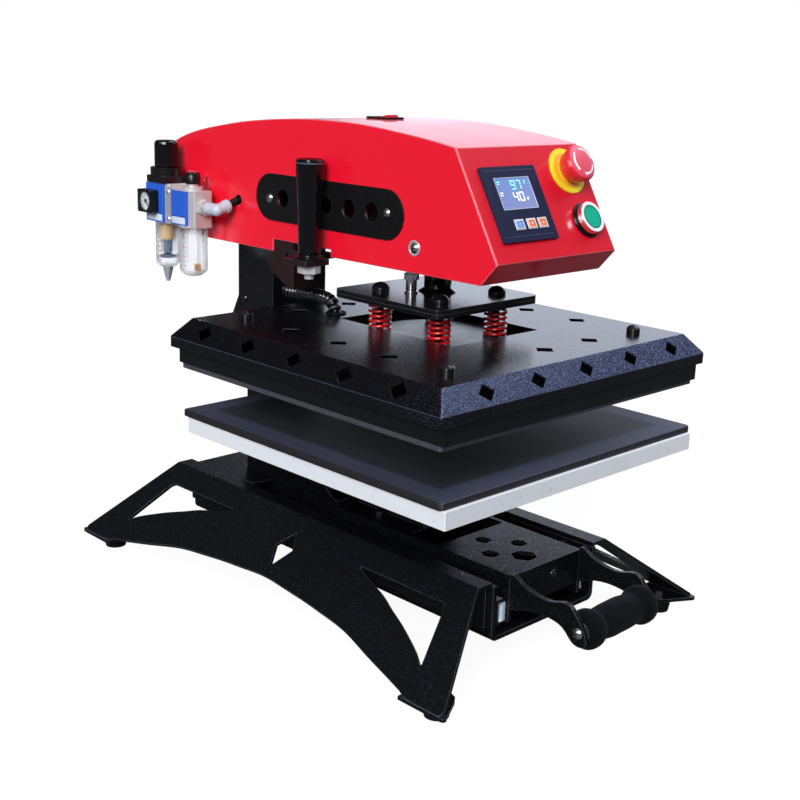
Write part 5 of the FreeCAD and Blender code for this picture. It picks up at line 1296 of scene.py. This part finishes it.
lathe("lubricator_cap_knurl", [(8.62, 247.2), (9.0, 247.7), (9.0, 256.0), (8.62, 256.6)], P(AX, 303.5, 0), Z, M["black_satin"], "swing_head", "black_plastic", 60, close=True, sharp=35)
# level scales: plain red dashes on the bowls
for nm, y, r, zs in (("filter", 357.0, 14.5, range(6)), ("lubricator", 303.0, 17.0, range(7))):
    vs, fs = [], []
    for i in zs:
        z = 150.0 + 5.6 * i
        half = 0.20 if i % 2 else 0.32
        for a_mid in (math.radians(196),):
            b = len(vs)
            for k in range(7):
                a = a_mid - half / 2 + half * k / 6
                for rr in (r - 0.05, r + 0.1):
                    for zz in (z, z + 0.9):
                        vs.append(P(AX + rr * math.cos(a), y + rr * math.sin(a), zz))
            for k in range(6):
                a, c = b + 4 * k, b + 4 * k + 4
                fs += [(a + 2, c + 2, c + 3, a + 3), (a, a + 1, c + 1, c), (a, c, c + 2, a + 2), (a + 1, a + 3, c + 3, c + 1)]
    obj_from("level_dashes_" + nm, vs, fs, M["ink_red"], "swing_head", "red_plastic")
# plain strips on the blue covers, and a seam above each
XM = Matrix(((0, 0, -1), (1, 0, 0), (0, -1, 0))).to_4x4()
for nm, y0, y1, z0, z1 in (("regulator", 342.6, 373.9, 198.6, 206.4), ("lubricator", 295.6, 322.6, 199.4, 207.2)):
    rbox("cover_strip_" + nm, (-134.32, -133.9, y0, y1, z0, z1), 0.15, M["label"], "swing_head", "white_plastic", None, 0.0, 2)
    rbox("cover_seam_" + nm, (-134.12, -133.9, y0 - 0.8, y1 + 0.8, z1 + 0.8, z1 + 1.3), 0.1, M["ink"], "swing_head", "black_plastic", None, 0.0, 2)
# gauge: dial, ticks, coloured arc, glass and rim
GY, GZ = 363.0, 221.5
GM = frame_to(P(-142.0, GY, GZ), (-1, 0, 0), (0, -1, 0))
ring_sector("gauge_dial", 0.01, 11.1, 0, 359.9, 0.0, 0.35, (0, 0), M["dial"], "swing_head", "white_plastic", GM, 72)
vs, fs = [], []
for i in range(28):
    a = math.radians(225 - 10 * i)
    big = i % 4 == 0
    r0, r1, hw = (7.7 if big else 8.7), 9.9, (0.28 if big else 0.14)
    d, nrm = Vector((math.cos(a), math.sin(a), 0)), Vector((-math.sin(a), math.cos(a), 0))
    b = len(vs)
    for z in (0.3, 0.48):
        for r, s in ((r0, -1), (r1, -1), (r1, 1), (r0, 1)):
            q = d * r + nrm * (s * hw)
            vs.append(Vector((q.x, q.y, z)) / 1000)
    fs += [(b, b + 3, b + 2, b + 1), (b + 4, b + 5, b + 6, b + 7)] + [(b + k, b + (k + 1) % 4, b + 4 + (k + 1) % 4, b + 4 + k) for k in range(4)]
obj_from("gauge_ticks", vs, fs, M["ink"], "swing_head", "black_plastic", False, GM)
ring_sector("gauge_arc", 6.6, 7.3, 20, 160, 0.3, 0.44, (0, 0), M["ink_green"], "swing_head", "green_plastic", GM, 30)
for i, ch in enumerate("02468"):
    a = math.radians(215 - 62.5 * i)
    digits("gauge_figure_%d" % i, ch, 5.1 * math.cos(a) - 0.5, 5.1 * math.sin(a) - 0.8, 1.0, 1.6, 0.28, 0.2, 0.3, 0.44, M["ink"], "swing_head", "black_plastic", GM, 0.0)
ring_sector("gauge_glass", 0.01, 11.15, 0, 359.9, 2.9, 3.3, (0, 0), M["lens"], "swing_head", "clear_plastic", GM, 64)
lathe("gauge_rim", [(11.25, 3.2), (12.6, 3.2), (12.7, 4.1), (12.2, 4.35), (11.3, 4.1)], P(-142.0, GY, GZ), (-1, 0, 0), M["black_gloss"], "swing_head", "black_plastic", 72, close=True, sharp=35)
# the knob's top disc
lathe("knob_cap", [(0, 292.7), (8.6, 292.65), (9.6, 292.4), (9.8, 291.9), (0, 291.9)], P(AX, 357, 0), Z, M["black_satin"], "knob", "black_plastic", 60, sharp=30)
ring_sector("elbow_release_ring", 5.1, 7.2, 0, 359.9, 0.0, 0.9, (0, 0), M["white"], "swing_head", "white_plastic", frame_to(P(-107.4 + 4.5 * 0.966, 254.0, 222.84 + 4.5 * 0.259), (0.966, 0, 0.259)), 48)

# ------------------------------------------------------------------ marks on the power switch
SWM = Matrix.Translation(P(3.0, 105.0, 0.0))
flat_shape("switch_mark_on", [(2.2, -7.9), (3.8, -7.9), (3.8, -2.6), (2.2, -2.6)], 333.4, 333.45, M["white"], "rocker", "white_plastic", SWM)


# ------------------------------------------------------------------ handle: rim groove, marked by a painted highlight line, and flange
lathe("grip_rim_highlight", [(15.35, 285.6), (15.62, 286.0), (15.5, 286.6), (15.2, 286.3)], P(-113.0, 96.0, 0), Z, M["rim_highlight_grey"], "swing_head", "black_plastic", 72, close=True)
lathe("grip_flange", [(12.6, 184.1), (16.4, 184.1), (17.0, 184.6), (17.0, 186.4), (15.8, 187.2), (12.6, 187.4)], P(-113.0, 96.0, 0), Z, M["black_gloss"], "swing_head", "black_plastic", 64, close=True, sharp=35)


# ------------------------------------------------------------------ end clips of the inner slide members
ZM = -153.0
for k, sx in enumerate((1, -1)):
    a, b = sorted((sx * 60.4, sx * 66.2))
    rbox("slide_end_clip_%d" % k, (a, b, -161.6, -159.9, ZM - 10.2, ZM + 10.2), 0.6, M["steel_blue"], "drawer", "zinc", None, 0.0, 4)
    c, d = sorted((sx * 64.6, sx * 69.0))
    rbox("slide_end_lip_top_%d" % k, (c, d, -161.4, -159.9, ZM + 9.0, ZM + 10.6), 0.5, M["zinc"], "drawer", "zinc", None, 0.0, 4)
    rbox("slide_end_lip_low_%d" % k, (c, d, -161.4, -159.9, ZM - 10.6, ZM - 9.0), 0.5, M["zinc"], "drawer", "zinc", None, 0.0, 4)
